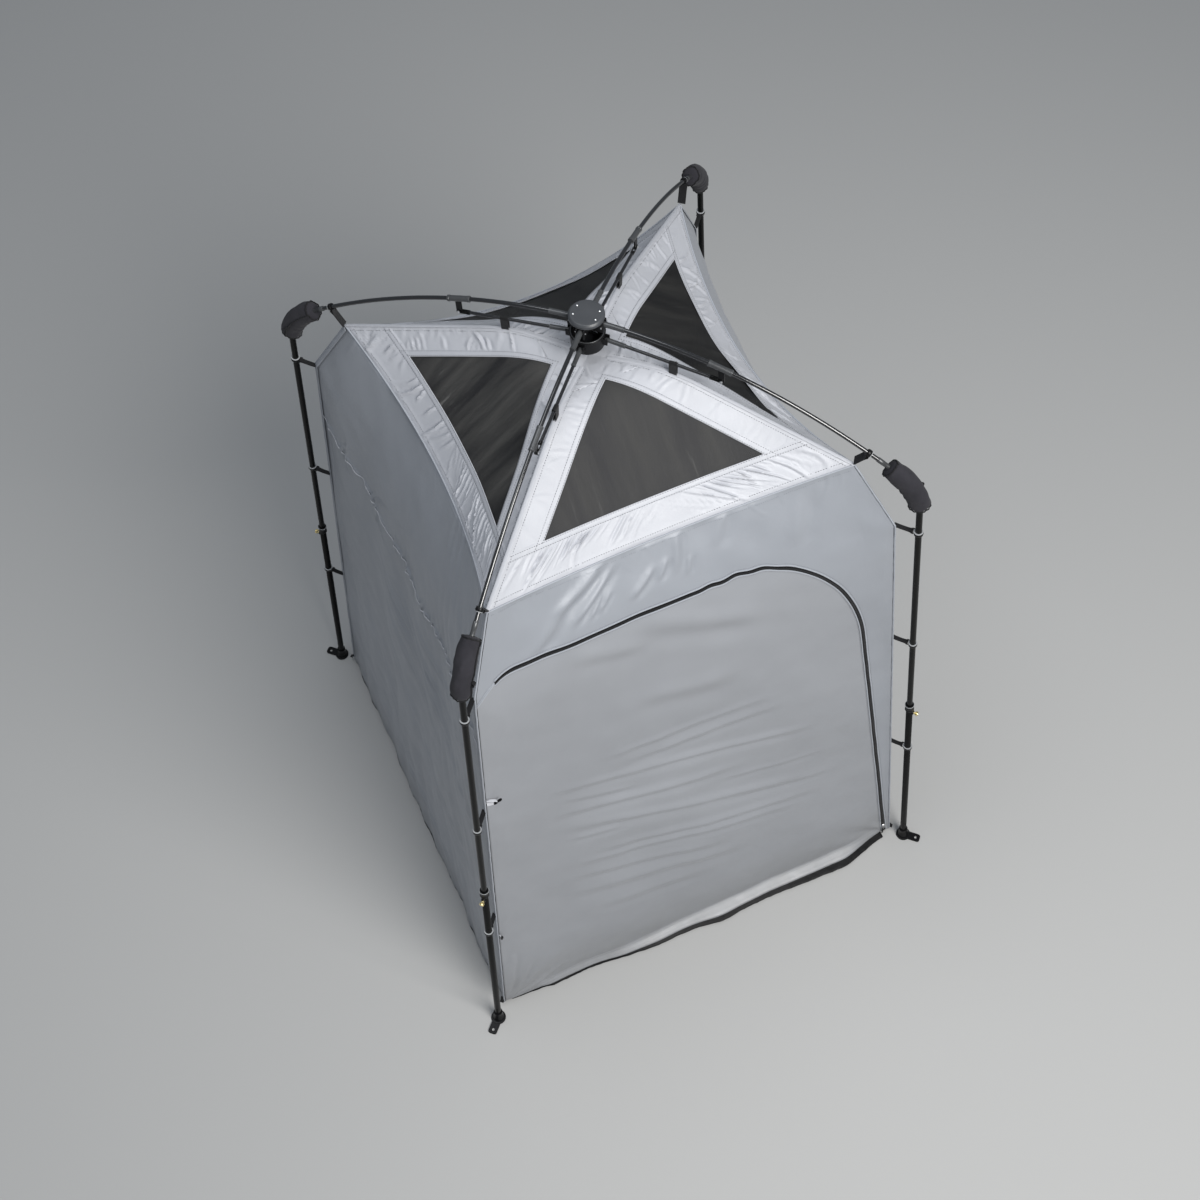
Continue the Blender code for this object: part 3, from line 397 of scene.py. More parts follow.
coated_steel = hard_finish("satin_black_steel", (0.0035, 0.0036, 0.0035), 0.22, 0.0, 240.0, 0.00003, 0.3,
                           0.10)
glossy_steel = hard_finish("glossy_black_steel", (0.0070, 0.0070, 0.0080), 0.15, 0.0, 240.0, 0.00002, 0.2,
                           1.0)
hub_plastic = hard_finish("hub_plastic", (0.046, 0.049, 0.054), 0.36, 0.0, 700.0, 0.00014, 0.1)
black_plastic = hard_finish("black_plastic", (0.0050, 0.0050, 0.0055), 0.34, 0.0, 600.0, 0.00008, 0.2, 0.18)
grey_ferrule = hard_finish("grey_ferrule", (0.062, 0.064, 0.067), 0.28, 0.35, 400.0, 0.00005, 0.2)
pale_lip = hard_finish("pale_ring_lip", (0.30, 0.31, 0.32), 0.34, 0.0, 500.0, 0.00010, 0.1)
# Pale cord is the ties' own tone; on the side walls' seam it is a painted highlight.
pale_cord_and_seam_highlight = hard_finish("pale_cord_and_seam_highlight", (0.46, 0.47, 0.50), 0.55, 0.0, 900.0, 0.00010, 0.1)
bare_metal = hard_finish("bare_metal", (0.90, 0.90, 0.91), 0.30, 1.0, 300.0, 0.00005, 0.0)
brass = hard_finish("brass", (0.88, 0.70, 0.36), 0.26, 1.0, 300.0, 0.00006, 0.1)
print("hard finishes: steel, plastics, ferrules, metal and brass")

# %% [markdown]
# Webbing, zip tape and the elbow covers are woven from thicker yarn, so the weave shows as ribs.
# The ribs are crossing waves on the piece's UV map in metres: twill lines for webbing, a plain
# tight rib for the zip tape, and a soft felted surface for the padded covers. The mud flap is thin
# black plastic film: smooth, a little glossy and crumpled.

# %% Woven tapes, padded cover cloth and plastic film
def woven_tape(name, tone, roughness, ribs, depth, twill):
    material, tree, shader = start_material(name, roughness, Sheen_Weight=0.06, Sheen_Roughness=0.5,
                                            Specular_IOR_Level=0.2)
    cloth = cloth_place(tree)
    place = object_place(tree)
    split = tree.nodes.new("ShaderNodeSeparateXYZ")
    join(tree, cloth, split.inputs["Vector"])
    along = maths(tree, "MULTIPLY", split.outputs["X"], ribs * 2.0 * math.pi)
    across = maths(tree, "MULTIPLY", split.outputs["Y"], twill * ribs * 2.0 * math.pi)
    yarn = maths(tree, "SINE", maths(tree, "ADD", along, across))
    join(tree, bump(tree, yarn, depth, 0.6), shader.inputs["Normal"])
    worn = soft_noise(tree, place, 30.0, 5.0, 0.7)
    tones = ramp(tree, worn, [(0.3, shade(tone, 0.85)), (0.75, shade(tone, 1.25))])
    join(tree, tones, shader.inputs["Base Color"])
    return material


def felted_cover():
    material, tree, shader = start_material("padded_cover_cloth", 0.85, Sheen_Weight=0.05,
                                            Sheen_Roughness=0.6, Specular_IOR_Level=0.2)
    place = object_place(tree)
    fibre = soft_noise(tree, place, 900.0, 3.0, 0.7)
    dimple = soft_noise(tree, place, 120.0, 4.0, 0.6)
    join(tree, bump(tree, fibre, 0.0002, 0.5, bump(tree, dimple, 0.0010, 0.5)), shader.inputs["Normal"])
    fade = soft_noise(tree, place, 22.0, 5.0, 0.65)
    tones = ramp(tree, fade, [(0.3, (0.016, 0.0155, 0.0195)), (0.75, (0.027, 0.026, 0.032))])
    join(tree, tones, shader.inputs["Base Color"])
    return material


def crumpled_film():
    material, tree, shader = start_material("mud_flap_film", 0.42, Specular_IOR_Level=0.12)
    place = object_place(tree)
    creases = soft_noise(tree, place, 38.0, 6.0, 0.7)
    join(tree, bump(tree, creases, 0.0035, 0.6), shader.inputs["Normal"])
    tones = ramp(tree, creases, [(0.3, (0.0045, 0.0045, 0.0050)), (0.8, (0.011, 0.011, 0.012))])
    join(tree, tones, shader.inputs["Base Color"])
    return material


webbing = woven_tape("strap_webbing", (0.009, 0.009, 0.010), 0.70, 700.0, 0.00035, 1.0)
cover_tape = woven_tape("cover_tape", (0.009, 0.009, 0.010), 0.80, 500.0, 0.00025, 0.5)
zip_tape = woven_tape("zip_tape", (0.0050, 0.0052, 0.0060), 0.62, 900.0, 0.00015, 0.0)
zip_coil = hard_finish("zip_coil", (0.014, 0.014, 0.015), 0.35, 0.0, 900.0, 0.00010, 0.2)
roof_thread = hard_finish("roof_thread", (0.050, 0.053, 0.060), 0.65, 0.0, 1800.0, 0.00010, 0.1)
stitch_thread = hard_finish("stitch_thread", (0.17, 0.18, 0.20), 0.65, 0.0, 1800.0, 0.00010, 0.1)
cover_cloth = felted_cover()
flap_film = crumpled_film()
print("soft finishes: webbing, zip tape, thread, cover cloth and film")

# %% [markdown]
# Sheets of cloth are easiest to shape as grids of points. The surface functions below repeat the
# CAD's own curves, but take whole arrays at once. A wall point is given by how far across the wall
# it is, from -1 to 1, and how far up, from 0 at the ground to 1 at the roof's edge. A roof point is
# given in metres, sideways and out from the roof's centre. The other three sides are quarter turns.

# %% Surfaces of the cabin
def corner_half(z):
    shoulder = BASE_HALF - BASE_LEAN * SHOULDER_Z
    share = np.clip((z - SHOULDER_Z) / (ROOF_EDGE_Z - SHOULDER_Z), 0.0, 1.0)
    return np.where(z <= SHOULDER_Z, BASE_HALF - BASE_LEAN * z, shoulder + (ROOF_HALF - shoulder) * share)


def wall_place(across, up):
    half = corner_half(up * ROOF_EDGE_Z)
    belly = 1.0 - across * across
    # Between its corners the cloth bends over the shoulder in a soft curve.
    near = np.clip(1.0 - np.abs(up * ROOF_EDGE_Z - SHOULDER_Z) / SHOULDER_ROUNDING, 0.0, None)
    soft = SHOULDER_BEND * SHOULDER_ROUNDING / 4.0 * near * near * np.clip(belly * 4.0, 0.0, 1.0)
    return np.stack([across * half, -half + soft + EDGE_PULL_IN * up * up * belly,
                     up * (ROOF_EDGE_Z - EDGE_SAG * belly)], axis=-1)


def hip_height(radial):
    inner = HIP_PEAK_Z + (ROOF_CENTRE_Z - HIP_PEAK_Z) * (1.0 - radial / HIP_PEAK_RADIAL) ** 2
    slope = (ROOF_EDGE_Z - HIP_PEAK_Z) / (ROOF_HALF * ROOT_TWO - HIP_PEAK_RADIAL)
    bent = np.where(radial < HIP_PEAK_RADIAL, inner, HIP_PEAK_Z + slope * (radial - HIP_PEAK_RADIAL))
    # Cloth bends over the peak in a soft curve, not in a sharp fold.
    near = np.clip(1.0 - np.abs(radial - HIP_PEAK_RADIAL) / PEAK_ROUNDING, 0.0, None)
    return bent + slope * PEAK_ROUNDING / 4.0 * near * near


def roof_place(sideways, outwards):
    across = sideways / np.maximum(outwards, 1e-6)
    out = outwards / ROOF_HALF
    belly = out * out * (1.0 - across * across)
    return np.stack([sideways, -outwards + EDGE_PULL_IN * belly,
                     hip_height(outwards * ROOT_TWO) - EDGE_SAG * belly], axis=-1)


def normals_of(surface, a, b, step):
    # Outward directions of a surface, from how its points move under small steps.
    along = surface(a + step, b) - surface(a - step, b)
    up = surface(a, b + step) - surface(a, b - step)
    n = np.cross(along, up)
    return n / np.maximum(np.linalg.norm(n, axis=-1, keepdims=True), 1e-12)


def quarter_turns(points, side):
    x, y, z = points[..., 0], points[..., 1], points[..., 2]
    for _ in range(SIDES[side]):
        x, y = -y, x
    return np.stack([x, y, z], axis=-1)


def ease(value, low, high):
    t = np.clip((value - low) / (high - low), 0.0, 1.0)
    return t * t * (3.0 - 2.0 * t)


print("roof corner at", wall_place(np.array(1.0), np.array(1.0)).round(4))

# %% [markdown]
# Cloth never hangs flat. Four kinds of relief are added along the surface's normal. Slow dents of
# a hand's width come from a few crossing waves. Puckers are the short sharp ridges that a sewing
# machine leaves along a seam. Gathers are longer single folds that start at a seam, slant as they
# leave it and fade out. Creases are single long folds left from packing, each with a place, a slant
# and a depth.

# %% Relief of real cloth: dents, puckers, gathers and creases
def dents(x, y, size, seed, waves=9):
    rng = np.random.default_rng(seed)
    total = np.zeros(np.broadcast(x, y).shape)
    for _ in range(waves):
        way = rng.uniform(0.0, math.pi)
        length = size * rng.uniform(0.7, 1.7)
        start = rng.uniform(0.0, 2.0 * math.pi)
        total += np.sin(2.0 * math.pi * (x * math.cos(way) + y * math.sin(way)) / length + start)
    return total / math.sqrt(waves)


def puckers(along, away, pitch, reach, seed, slant=0.6):
    # Sharp little ridges with an uneven pitch; some stretches of the seam have hardly any.
    wander = dents(along, away * 0.3, 6.0 * pitch, seed, 7)
    phase = (along + slant * away) / pitch + 0.55 * wander
    ridge = 1.0 - np.abs(np.sin(math.pi * phase)) ** 0.7
    strength = np.clip(0.55 + 0.5 * dents(along, away * 0.0, 14.0 * pitch, seed + 1, 6), 0.05, 1.5)
    return (ridge - 0.35) * strength * np.exp(-np.maximum(away, 0.0) / reach)


def gathers(along, away, deep, pitch, lean, width, height, seed, gaps=0.15):
    # Single folds at uneven places along a seam. Each starts at the seam, where away is 0, slants as
    # it leaves it, and fades out after a while. Its upper side is a ridge and its lower a valley.
    rng = np.random.default_rng(seed)
    total = np.zeros(np.broadcast(along, away).shape)
    place, last = float(np.min(along)), float(np.max(along))
    while place < last:
        place += pitch * rng.uniform(0.55, 1.55)
        if rng.random() < gaps:
            place += pitch * rng.uniform(1.2, 3.2)
        reach = deep * rng.uniform(0.40, 1.20)
        slant = lean * rng.uniform(0.75, 1.25) + rng.normal(0.0, 0.10)
        wide = width * rng.uniform(0.75, 1.45)
        tall = height * rng.uniform(0.35, 1.20)
        line = along - place - slant * away - rng.normal(0.0, 0.6) * away * away / deep
        fade = ease(reach - away, 0.0, 0.55 * reach)
        valley = 0.65 * np.exp(-((line + 1.35 * wide) / (0.8 * wide)) ** 2)
        total += tall * fade * (np.exp(-(line / wide) ** 2) - valley)
    return total


def crease(x, y, place, length, slant, width, depth):
    # One long shallow fold: a soft ridge with a valley under it.
    turn = math.radians(slant)
    u = (x - place[0]) * math.cos(turn) + (y - place[1]) * math.sin(turn)
    v = -(x - place[0]) * math.sin(turn) + (y - place[1]) * math.cos(turn)
    v = v - 0.08 * u * u / length
    fade = ease(length / 2.0 - np.abs(u), 0.0, length * 0.35)
    valley = 0.8 * np.exp(-((v + 1.5 * width) / width) ** 2)
    return 1.35 * depth * fade * (np.exp(-(v / width) ** 2) - valley)


print("relief functions ready")

# %% [markdown]
# The front wall has long creases that sag to the right, where the door was folded for its bag. The
# left wall has a seam across it at about three quarters of its height. Its main folds run nearly
# level and sag towards the front corner, with faint upright waves between them. The right and back
# walls aren't seen: they have the same seam and hem, and plainer folds. All relief fades to nothing
# at the corners and at the roof's edge, so that neighbouring sheets still meet.

# %% Where each wall's cloth really lies
# Each crease: left end, right end (sideways and height in metres), width and depth.
DOOR_CREASES = [
    ((-0.240, 1.115), (0.220, 1.075), 0.0130, 0.0030),
    ((-0.190, 1.052), (0.260, 1.022), 0.0140, 0.0034),
    ((-0.385, 1.065), (0.020, 0.940), 0.0150, 0.0040),
    ((-0.140, 0.995), (0.345, 0.855), 0.0160, 0.0058),
    ((-0.370, 1.006), (-0.160, 0.915), 0.0100, 0.0022),
    ((-0.390, 0.942), (0.130, 0.796), 0.0170, 0.0056),
    ((-0.365, 0.850), (0.385, 0.566), 0.0190, 0.0070),
    ((-0.375, 0.806), (-0.205, 0.748), 0.0100, 0.0022),
    ((-0.295, 0.674), (0.370, 0.480), 0.0180, 0.0062),
    ((-0.365, 0.654), (0.305, 0.447), 0.0160, 0.0052),
    ((-0.380, 0.590), (0.085, 0.420), 0.0180, 0.0046),
    ((-0.400, 0.500), (0.160, 0.330), 0.0240, 0.0044),
    ((-0.110, 1.578), (0.220, 1.440), 0.0340, 0.0052),
    ((-0.290, 1.580), (-0.080, 1.495), 0.0260, 0.0036),
    ((-0.140, 1.310), (0.140, 1.230), 0.0340, 0.0052),
    ((-0.330, 0.370), (0.040, 0.272), 0.0220, 0.0030),
    ((0.080, 0.760), (0.400, 0.690), 0.0110, 0.0024),
    ((0.100, 0.640), (0.420, 0.560), 0.0110, 0.0020),
]
# The fixed wall above the zip is pulled into slanting folds below the roof's edge.
HEADER_FOLDS = [
    ((-0.305, 1.712), (-0.150, 1.772), 0.0140, 0.0060),
    ((-0.268, 1.664), (-0.132, 1.752), 0.0100, 0.0062),
    ((-0.224, 1.656), (-0.172, 1.706), 0.0060, 0.0036),
    ((-0.198, 1.660), (-0.158, 1.698), 0.0055, 0.0032),
    ((-0.385, 1.640), (-0.250, 1.740), 0.0170, 0.0038),
    ((-0.112, 1.654), (-0.040, 1.708), 0.0090, 0.0046),
    ((-0.040, 1.670), (-0.004, 1.716), 0.0070, 0.0034),
    ((0.010, 1.672), (0.030, 1.766), 0.0110, 0.0030),
    ((0.034, 1.656), (0.050, 1.700), 0.0060, 0.0028),
    ((0.110, 1.700), (0.150, 1.778), 0.0150, 0.0026),
    ((0.300, 1.640), (0.330, 1.780), 0.0200, 0.0030),
]
# Folds that stand up from the door's lower left corner, where the hem is pulled to the foot.
CORNER_FOLDS = [
    ((-0.652, 0.020), (-0.600, 0.300), 0.0090, 0.0050),
    ((-0.640, 0.020), (-0.560, 0.190), 0.0080, 0.0038),
    ((-0.655, 0.030), (-0.628, 0.260), 0.0070, 0.0040),
    ((-0.610, 0.015), (-0.450, 0.090), 0.0080, 0.0030),
]
# The left wall's folds hang between the seam and the hem, and sag towards the front corner.
LEFT_FOLDS = [
    ((-0.240, 1.200), (0.160, 1.100), 0.0120, 0.0038),
    ((-0.150, 1.245), (0.320, 1.090), 0.0120, 0.0044),
    ((-0.190, 1.140), (0.260, 0.985), 0.0130, 0.0040),
    ((-0.230, 1.070), (0.200, 0.860), 0.0150, 0.0044),
    ((-0.030, 1.290), (0.400, 1.210), 0.0120, 0.0034),
    ((0.060, 1.160), (0.440, 0.870), 0.0130, 0.0040),
    ((-0.280, 0.940), (0.060, 0.640), 0.0170, 0.0036),
    ((-0.300, 0.640), (-0.060, 0.230), 0.0160, 0.0036),
    ((0.000, 0.660), (0.360, 0.470), 0.0160, 0.0032),
    ((-0.140, 0.205), (0.340, 0.170), 0.0140, 0.0040),
]
HEM_FLARE = 0.040
HEM_FLARE_TOP = 0.036
BROAD_WAVE = 0.0046
NARROW_WAVE = 0.0018
FINE_WAVE = 0.0016
SEAM_RIDGE = 0.0030
# Folds fan out from each hem corner: how high they stand, how close they lie and how far they reach.
FAN_HEIGHT = 0.0034
FAN_FOLDS = 11.0
FAN_REACH = 0.26
SIDE_SEAM_UP = 0.78
HEM_UP = 0.0065
DOOR_TOP = 0.907
DOOR_TOP_LEFT = 0.875
DOOR_LEFT_CURVE = 0.20
WALL_SEEDS = {"front": 11, "right": 23, "back": 37, "left": 53}


def zip_rise(across):
    # The height of the door's top edge, which climbs from the left corner to a level run.
    share = np.clip((across + 1.0) / DOOR_LEFT_CURVE, 0.0, 1.0)
    return DOOR_TOP_LEFT + (DOOR_TOP - DOOR_TOP_LEFT) * (1.0 - (1.0 - share) ** 2)


def hem_flare(across, z):
    # The door's hem kicks out over the grass, most of all to the right of the middle.
    strength = (0.45 + 0.55 * ease(across, -0.80, 0.30)) * (1.0 - 0.60 * ease(across, 0.70, 0.95))
    strength = strength * ease(1.0 - np.abs(across), 0.0, 0.16)
    return HEM_FLARE * strength * (1.0 - ease(z, 0.004, HEM_FLARE_TOP))


def long_folds(folds, sideways, level):
    total = 0.0
    for left, right, width, depth in folds:
        middle = ((left[0] + right[0]) / 2.0, (left[1] + right[1]) / 2.0)
        length = math.dist(left, right) * 1.2
        slant = math.degrees(math.atan2(right[1] - left[1], right[0] - left[0]))
        total = total + crease(sideways, level, middle, length, slant, width, depth)
    return total


def wall_relief(side, across, up):
    x = across * BASE_HALF
    z = up * ROOF_EDGE_Z
    seed = WALL_SEEDS[side]
    to_corner = (1.0 - np.abs(across)) * corner_half(z)
    to_roof = (1.0 - up) * ROOF_EDGE_Z
    hold = ease(to_corner, 0.0, 0.030) * ease(to_roof, 0.0, 0.010)
    relief = 0.0034 * dents(x, z, 0.40, seed) + 0.0007 * dents(x, z, 0.10, seed + 5)
    relief += gathers(x, to_roof, 0.060, 0.030, 0.0, 0.0055, 0.0012, seed + 7, 0.3)
    relief += 0.0008 * puckers(z, to_corner, 0.034, 0.030, seed + 8)
    relief += 0.0011 * puckers(x, z, 0.026, 0.028, seed + 9)
    if side == "front":
        sideways = across * corner_half(z)
        level = up * (ROOF_EDGE_Z - EDGE_SAG * (1.0 - across * across))
        relief += long_folds(DOOR_CREASES, sideways, level) + long_folds(CORNER_FOLDS, sideways, level)
        relief += long_folds(HEADER_FOLDS, sideways, level) * ease(up - zip_rise(across), 0.001, 0.014)
        relief += hem_flare(across, z) * (1.0 + 0.08 * dents(x, z, 0.16, seed + 3))
    else:
        # Faint upright waves, broad ones and narrow ones, that lean a little.
        sway = x + 0.10 * z + 0.02 * dents(x, z, 0.5, seed + 2)
        held = ease(z, 0.0, 0.5) * ease(1.7 - z, 0.0, 0.5)
        relief += BROAD_WAVE * np.sin(2.0 * math.pi * sway / 0.31 + seed) * held
        relief += NARROW_WAVE * np.sin(2.0 * math.pi * sway / 0.115 + 1.0) * ease(1.3 - z, 0.0, 0.9)
        if side == "left":
            relief += long_folds(LEFT_FOLDS, across * corner_half(z), z)
        # Fine slanting waves, on the left wall only towards the front corner.
        slanting = x + 0.24 * z + 0.012 * dents(x, z, 0.30, seed + 12)
        here = ease(across, 0.0, 0.6) if side == "left" else 0.3
        uneven = 0.6 + 0.5 * dents(x, z, 0.25, seed + 13)
        relief += FINE_WAVE * np.sin(2.0 * math.pi * slanting / 0.056) * here * uneven
        # The seam stands up as a low ridge, with gathered folds on both sides.
        from_seam = np.abs(z - SIDE_SEAM_UP * ROOF_EDGE_Z)
        relief += gathers(x, from_seam, 0.120, 0.040, 0.25, 0.0060, 0.0044, seed + 4, 0.35)
        relief += SEAM_RIDGE * np.exp(-(from_seam / 0.0070) ** 2) * (1.0 + 0.8 * dents(x, z, 0.05, seed + 6))
    # Folds that fan out from each hem corner, where the cloth is pulled to the foot.
    for corner in (-1.0, 1.0):
        dx = (corner - across) * corner * BASE_HALF
        turn = np.arctan2(z, np.maximum(dx, 1e-4))
        far = np.hypot(dx, z)
        fade = np.exp(-far / FAN_REACH)
        relief += FAN_HEIGHT * np.sin(turn * FAN_FOLDS + seed) * fade * ease(far, 0.01, 0.10)
    if side == "front":
        # Close to the seam that the door turns on, no fold stands out far enough to meet the foot.
        room = 0.0010 + 0.035 * to_corner + 0.15 * np.maximum(to_corner - 0.12, 0.0)
        relief = np.where(across < 0.0, np.minimum(relief, room), relief)
    return relief * hold


def zip_ripple(across, up):
    # The zip's tape is a little longer than the cloth round it, so it lies in waves at the top right.
    run = ease(across, 0.02, 0.20) * (1.0 - ease(across, 0.78, 0.88))
    near_zip = np.exp(-((up - zip_rise(across)) / 0.022) ** 2)
    return 0.0013 * np.sin(2.0 * math.pi * across / 0.130 + 0.6) * run * near_zip


def wall_surface(side, across, up, lift=0.0):
    shown = up + zip_ripple(across, up) if side == "front" else up
    base = wall_place(across, shown)
    out = normals_of(wall_place, across, shown, 0.002)
    relief = wall_relief(side, across, up) + lift
    return quarter_turns(base + out * relief[..., None], side)


sample = 1000.0 * wall_relief("front", np.linspace(-1, 1, 60)[None, :], np.linspace(0, 1, 60)[:, None])
print("front relief from", round(float(sample.min()), 1), "to", round(float(sample.max()), 1), "mm")

# %% [markdown]
# A grid of points becomes a cloth sheet: quads between the points, a UV map in metres along the
# cloth, smooth shading, and a Solidify modifier for the cloth's thickness. Each finished piece is
# then given to the CAD body that it moves with, and the CAD nodes that it stands for are hidden.

# %% Helpers that turn grids of points into pieces
CLOTH_THICK = 0.0008


def own(obj, body, stands_for=()):
    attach(obj, body)
    if stands_for:
        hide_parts(*stands_for)
    return obj


def new_object(name, mesh, material):
    obj = bpy.data.objects.new(name, mesh)
    bpy.context.scene.collection.objects.link(obj)
    if material is not None:
        mesh.materials.append(material)
    return obj


def smooth(mesh, angle=40.0):
    for face in mesh.polygons:
        face.use_smooth = True
    mesh.set_sharp_from_angle(angle=math.radians(angle))


def grid_faces(rows, columns, first=0, loop=False):
    faces = []
    last = columns if loop else columns - 1
    for j in range(rows - 1):
        for i in range(last):
            a = first + j * columns + i
            b = first + j * columns + (i + 1) % columns
            faces.append((a, b, b + columns, a + columns))
    return faces


def set_cloth_uv(mesh, flat):
    layer = mesh.uv_layers.new(name="cloth")
    corner = np.zeros(len(mesh.loops), np.int32)
    mesh.loops.foreach_get("vertex_index", corner)
    layer.data.foreach_set("uv", np.asarray(flat, np.float32)[corner].ravel())


def cloth_piece(name, patches, material, thick=CLOTH_THICK, weld=0.0002):
    # Each patch is a grid of points and a grid of places on the flat cloth. Patches are joined where
    # their edges meet. A third grid may say how strongly the cloth is gathered at each point.
    points = np.concatenate([patch[0].reshape(-1, 3) for patch in patches])
    flat = np.concatenate([patch[1].reshape(-1, 2) for patch in patches])
    faces = []
    first = 0
    for patch in patches:
        rows, columns = patch[0].shape[:2]
        faces += grid_faces(rows, columns, first)
        first += rows * columns
    mesh = bpy.data.meshes.new(name)
    mesh.from_pydata(points.tolist(), [], faces)
    set_cloth_uv(mesh, flat)
    if len(patches[0]) > 2:
        pulled = np.concatenate([patch[2].ravel() for patch in patches]).astype(np.float32)
        mesh.attributes.new("gather", "FLOAT", "POINT").data.foreach_set("value", pulled)
    bm = bmesh.new()
    bm.from_mesh(mesh)
    bmesh.ops.remove_doubles(bm, verts=bm.verts, dist=weld)
    bm.to_mesh(mesh)
    bm.free()
    smooth(mesh, 70.0)
    obj = new_object(name, mesh, material)
    layer = obj.modifiers.new("cloth_thickness", "SOLIDIFY")
    layer.thickness = thick
    layer.offset = -1.0
    print(name, "sheet:", len(mesh.polygons), "faces")
    return obj


print("grid helpers ready")

# %% [markdown]
# Three walls are whole sheets from corner to corner. Each is cut wider at the hem than at the
# roof, so the flat area is less than width times length.

# %% Left, right and back walls
SEAM_STEPS = np.array([0.0013, 0.0026, 0.0040, 0.0060, 0.0110])
SEAM_ROWS = SIDE_SEAM_UP + np.concatenate([-SEAM_STEPS[::-1], [0.0], SEAM_STEPS])


def wall_grid(rows, columns):
    # Rows lie closer together at the hem, at the seam across the wall and at the roof's edge.
    low = np.linspace(0.058, SIDE_SEAM_UP - 0.016, int(rows * 0.84))
    high = np.linspace(SIDE_SEAM_UP + 0.016, 0.93, int(rows * 0.16))
    ups = np.concatenate([np.linspace(HEM_UP, 0.05, 12), low, SEAM_ROWS, high, np.linspace(0.936, 1.0, 16)])
    middle = np.linspace(-0.94, 0.94, columns)
    acrosses = np.concatenate([np.linspace(-1, -0.95, 8), middle, np.linspace(0.95, 1, 8)])
    return np.meshgrid(acrosses, ups)


# Rows and columns: the left wall is seen from near by, so its grid is finer.
WALL_GRIDS = {"left": (200, 150), "right": (70, 100), "back": (70, 100)}
# The back wall is a little narrower, so that its edges don't lie in the side walls.
BACK_INSET = 0.0018

for side, (rows, columns) in WALL_GRIDS.items():
    across, up = wall_grid(rows, columns)
    inset = BACK_INSET if side == "back" else 0.0
    across = across * (1.0 - inset / corner_half(up * ROOF_EDGE_Z))
    flat = np.stack([across * BASE_HALF, up * ROOF_EDGE_Z], axis=-1)
    wall = cloth_piece(side + "_wall_cloth", [(wall_surface(side, across, up), flat)], wall_cloth)
    own(wall, CABIN, [side + "_wall"])

# %% [markdown]
# The door's zip starts by the left corner, climbs to a level run, bends round at the top right and
# drops to the hem. The fixed front wall lies between that line and the outer edges of the wall. So
# it is one sheet laid out along the zip: one direction follows the zip, and the other runs from the
# zip to the roof seam or to the right corner.

# %% The zip's line and the fixed front wall
# The arc at the top right is a curve from its start to its end, drawn towards two points between.
ARC_START = 0.283
ARC = [(ARC_START, DOOR_TOP), (0.61, DOOR_TOP), (0.82, 0.80), (0.855, 0.672)]
# Places on the zip's lower run, from the hem to the arc's end.
LOWER_RUN = [(0.975, 0.0), (0.9416, 0.186), (0.887, 0.498), ARC[-1]]
SEAM_INSET = 0.0030
# How many points the zip's line has along its level run, its arc and its lower run.
LEVEL_POINTS = 120
ARC_POINTS = 110
LOWER_POINTS = 150
# The point of the line, counted from its start, that is joined to the wall's upper right corner.
CORNER_AT = LEVEL_POINTS - 1 + 62


def left_edge(up):
    return -(1.0 - SEAM_INSET / corner_half(up * ROOF_EDGE_Z))


def arc_points():
    t = np.linspace(0.0, 1.0, ARC_POINTS)[:, None]
    p = np.array(ARC)
    return (1 - t) ** 3 * p[0] + 3 * (1 - t) ** 2 * t * p[1] + 3 * (1 - t) * t * t * p[2] + t ** 3 * p[3]


def lower_points():
    # A smooth run from the arc's end to the hem.
    ups = np.linspace(LOWER_RUN[-1][1], HEM_UP, LOWER_POINTS)
    fit = np.polyfit([u for _, u in LOWER_RUN], [a for a, _ in LOWER_RUN], 3)
    return np.stack([np.polyval(fit, ups), ups], axis=-1)


top_across = np.linspace(float(left_edge(np.array(DOOR_TOP_LEFT))), ARC_START, LEVEL_POINTS)
level_run = np.stack([top_across, zip_rise(top_across)], axis=-1)
zip_line = np.concatenate([level_run, arc_points()[1:], lower_points()[1:]])


def outer_partner(line):
    # For each point of the zip, the point of the wall's outer edge that it is joined to.
    partner = []
    last = len(line) - 1
    level_end = LEVEL_POINTS - 1
    for k, across in enumerate(line[:, 0]):
        if k <= level_end:
            partner.append((across, 1.0))
        elif k <= CORNER_AT:
            t = (k - level_end) / (CORNER_AT - level_end)
            partner.append((ARC_START + (1.0 - ARC_START) * t, 1.0))
        else:
            t = (k - CORNER_AT) / (last - CORNER_AT)
            partner.append((1.0, 1.0 + (HEM_UP - 1.0) * t))
    return np.array(partner)


partner = outer_partner(zip_line)
spread = np.concatenate([np.linspace(0.0, 0.1, 6), np.linspace(0.13, 0.93, 32), np.linspace(0.95, 1.0, 5)])
across = zip_line[None, :, 0] + (partner[None, :, 0] - zip_line[None, :, 0]) * spread[:, None]
up = zip_line[None, :, 1] + (partner[None, :, 1] - zip_line[None, :, 1]) * spread[:, None]
limit = 1.0 - SEAM_INSET / corner_half(up * ROOF_EDGE_Z)
across = np.clip(across, -limit, limit)
front_flat = np.stack([across * BASE_HALF, up * ROOF_EDGE_Z], axis=-1)
front_wall = cloth_piece("front_wall_cloth", [(wall_surface("front", across, up), front_flat)], wall_cloth)
own(front_wall, CABIN, ["front_wall_header", "front_wall_right_strip"])

# %% [markdown]
# The door is the sheet inside the zip's line. Its rows rise with the top edge, and its right side
# follows the zip, so no square of its grid is cut across. Near the hem its cloth kicks out, which is
# where the photograph shows a bright strip.

# %% The door
door_right_line = np.concatenate([lower_points()[::-1], arc_points()[::-1][1:]])


def door_right(up):
    return np.interp(up, door_right_line[:, 1], door_right_line[:, 0])


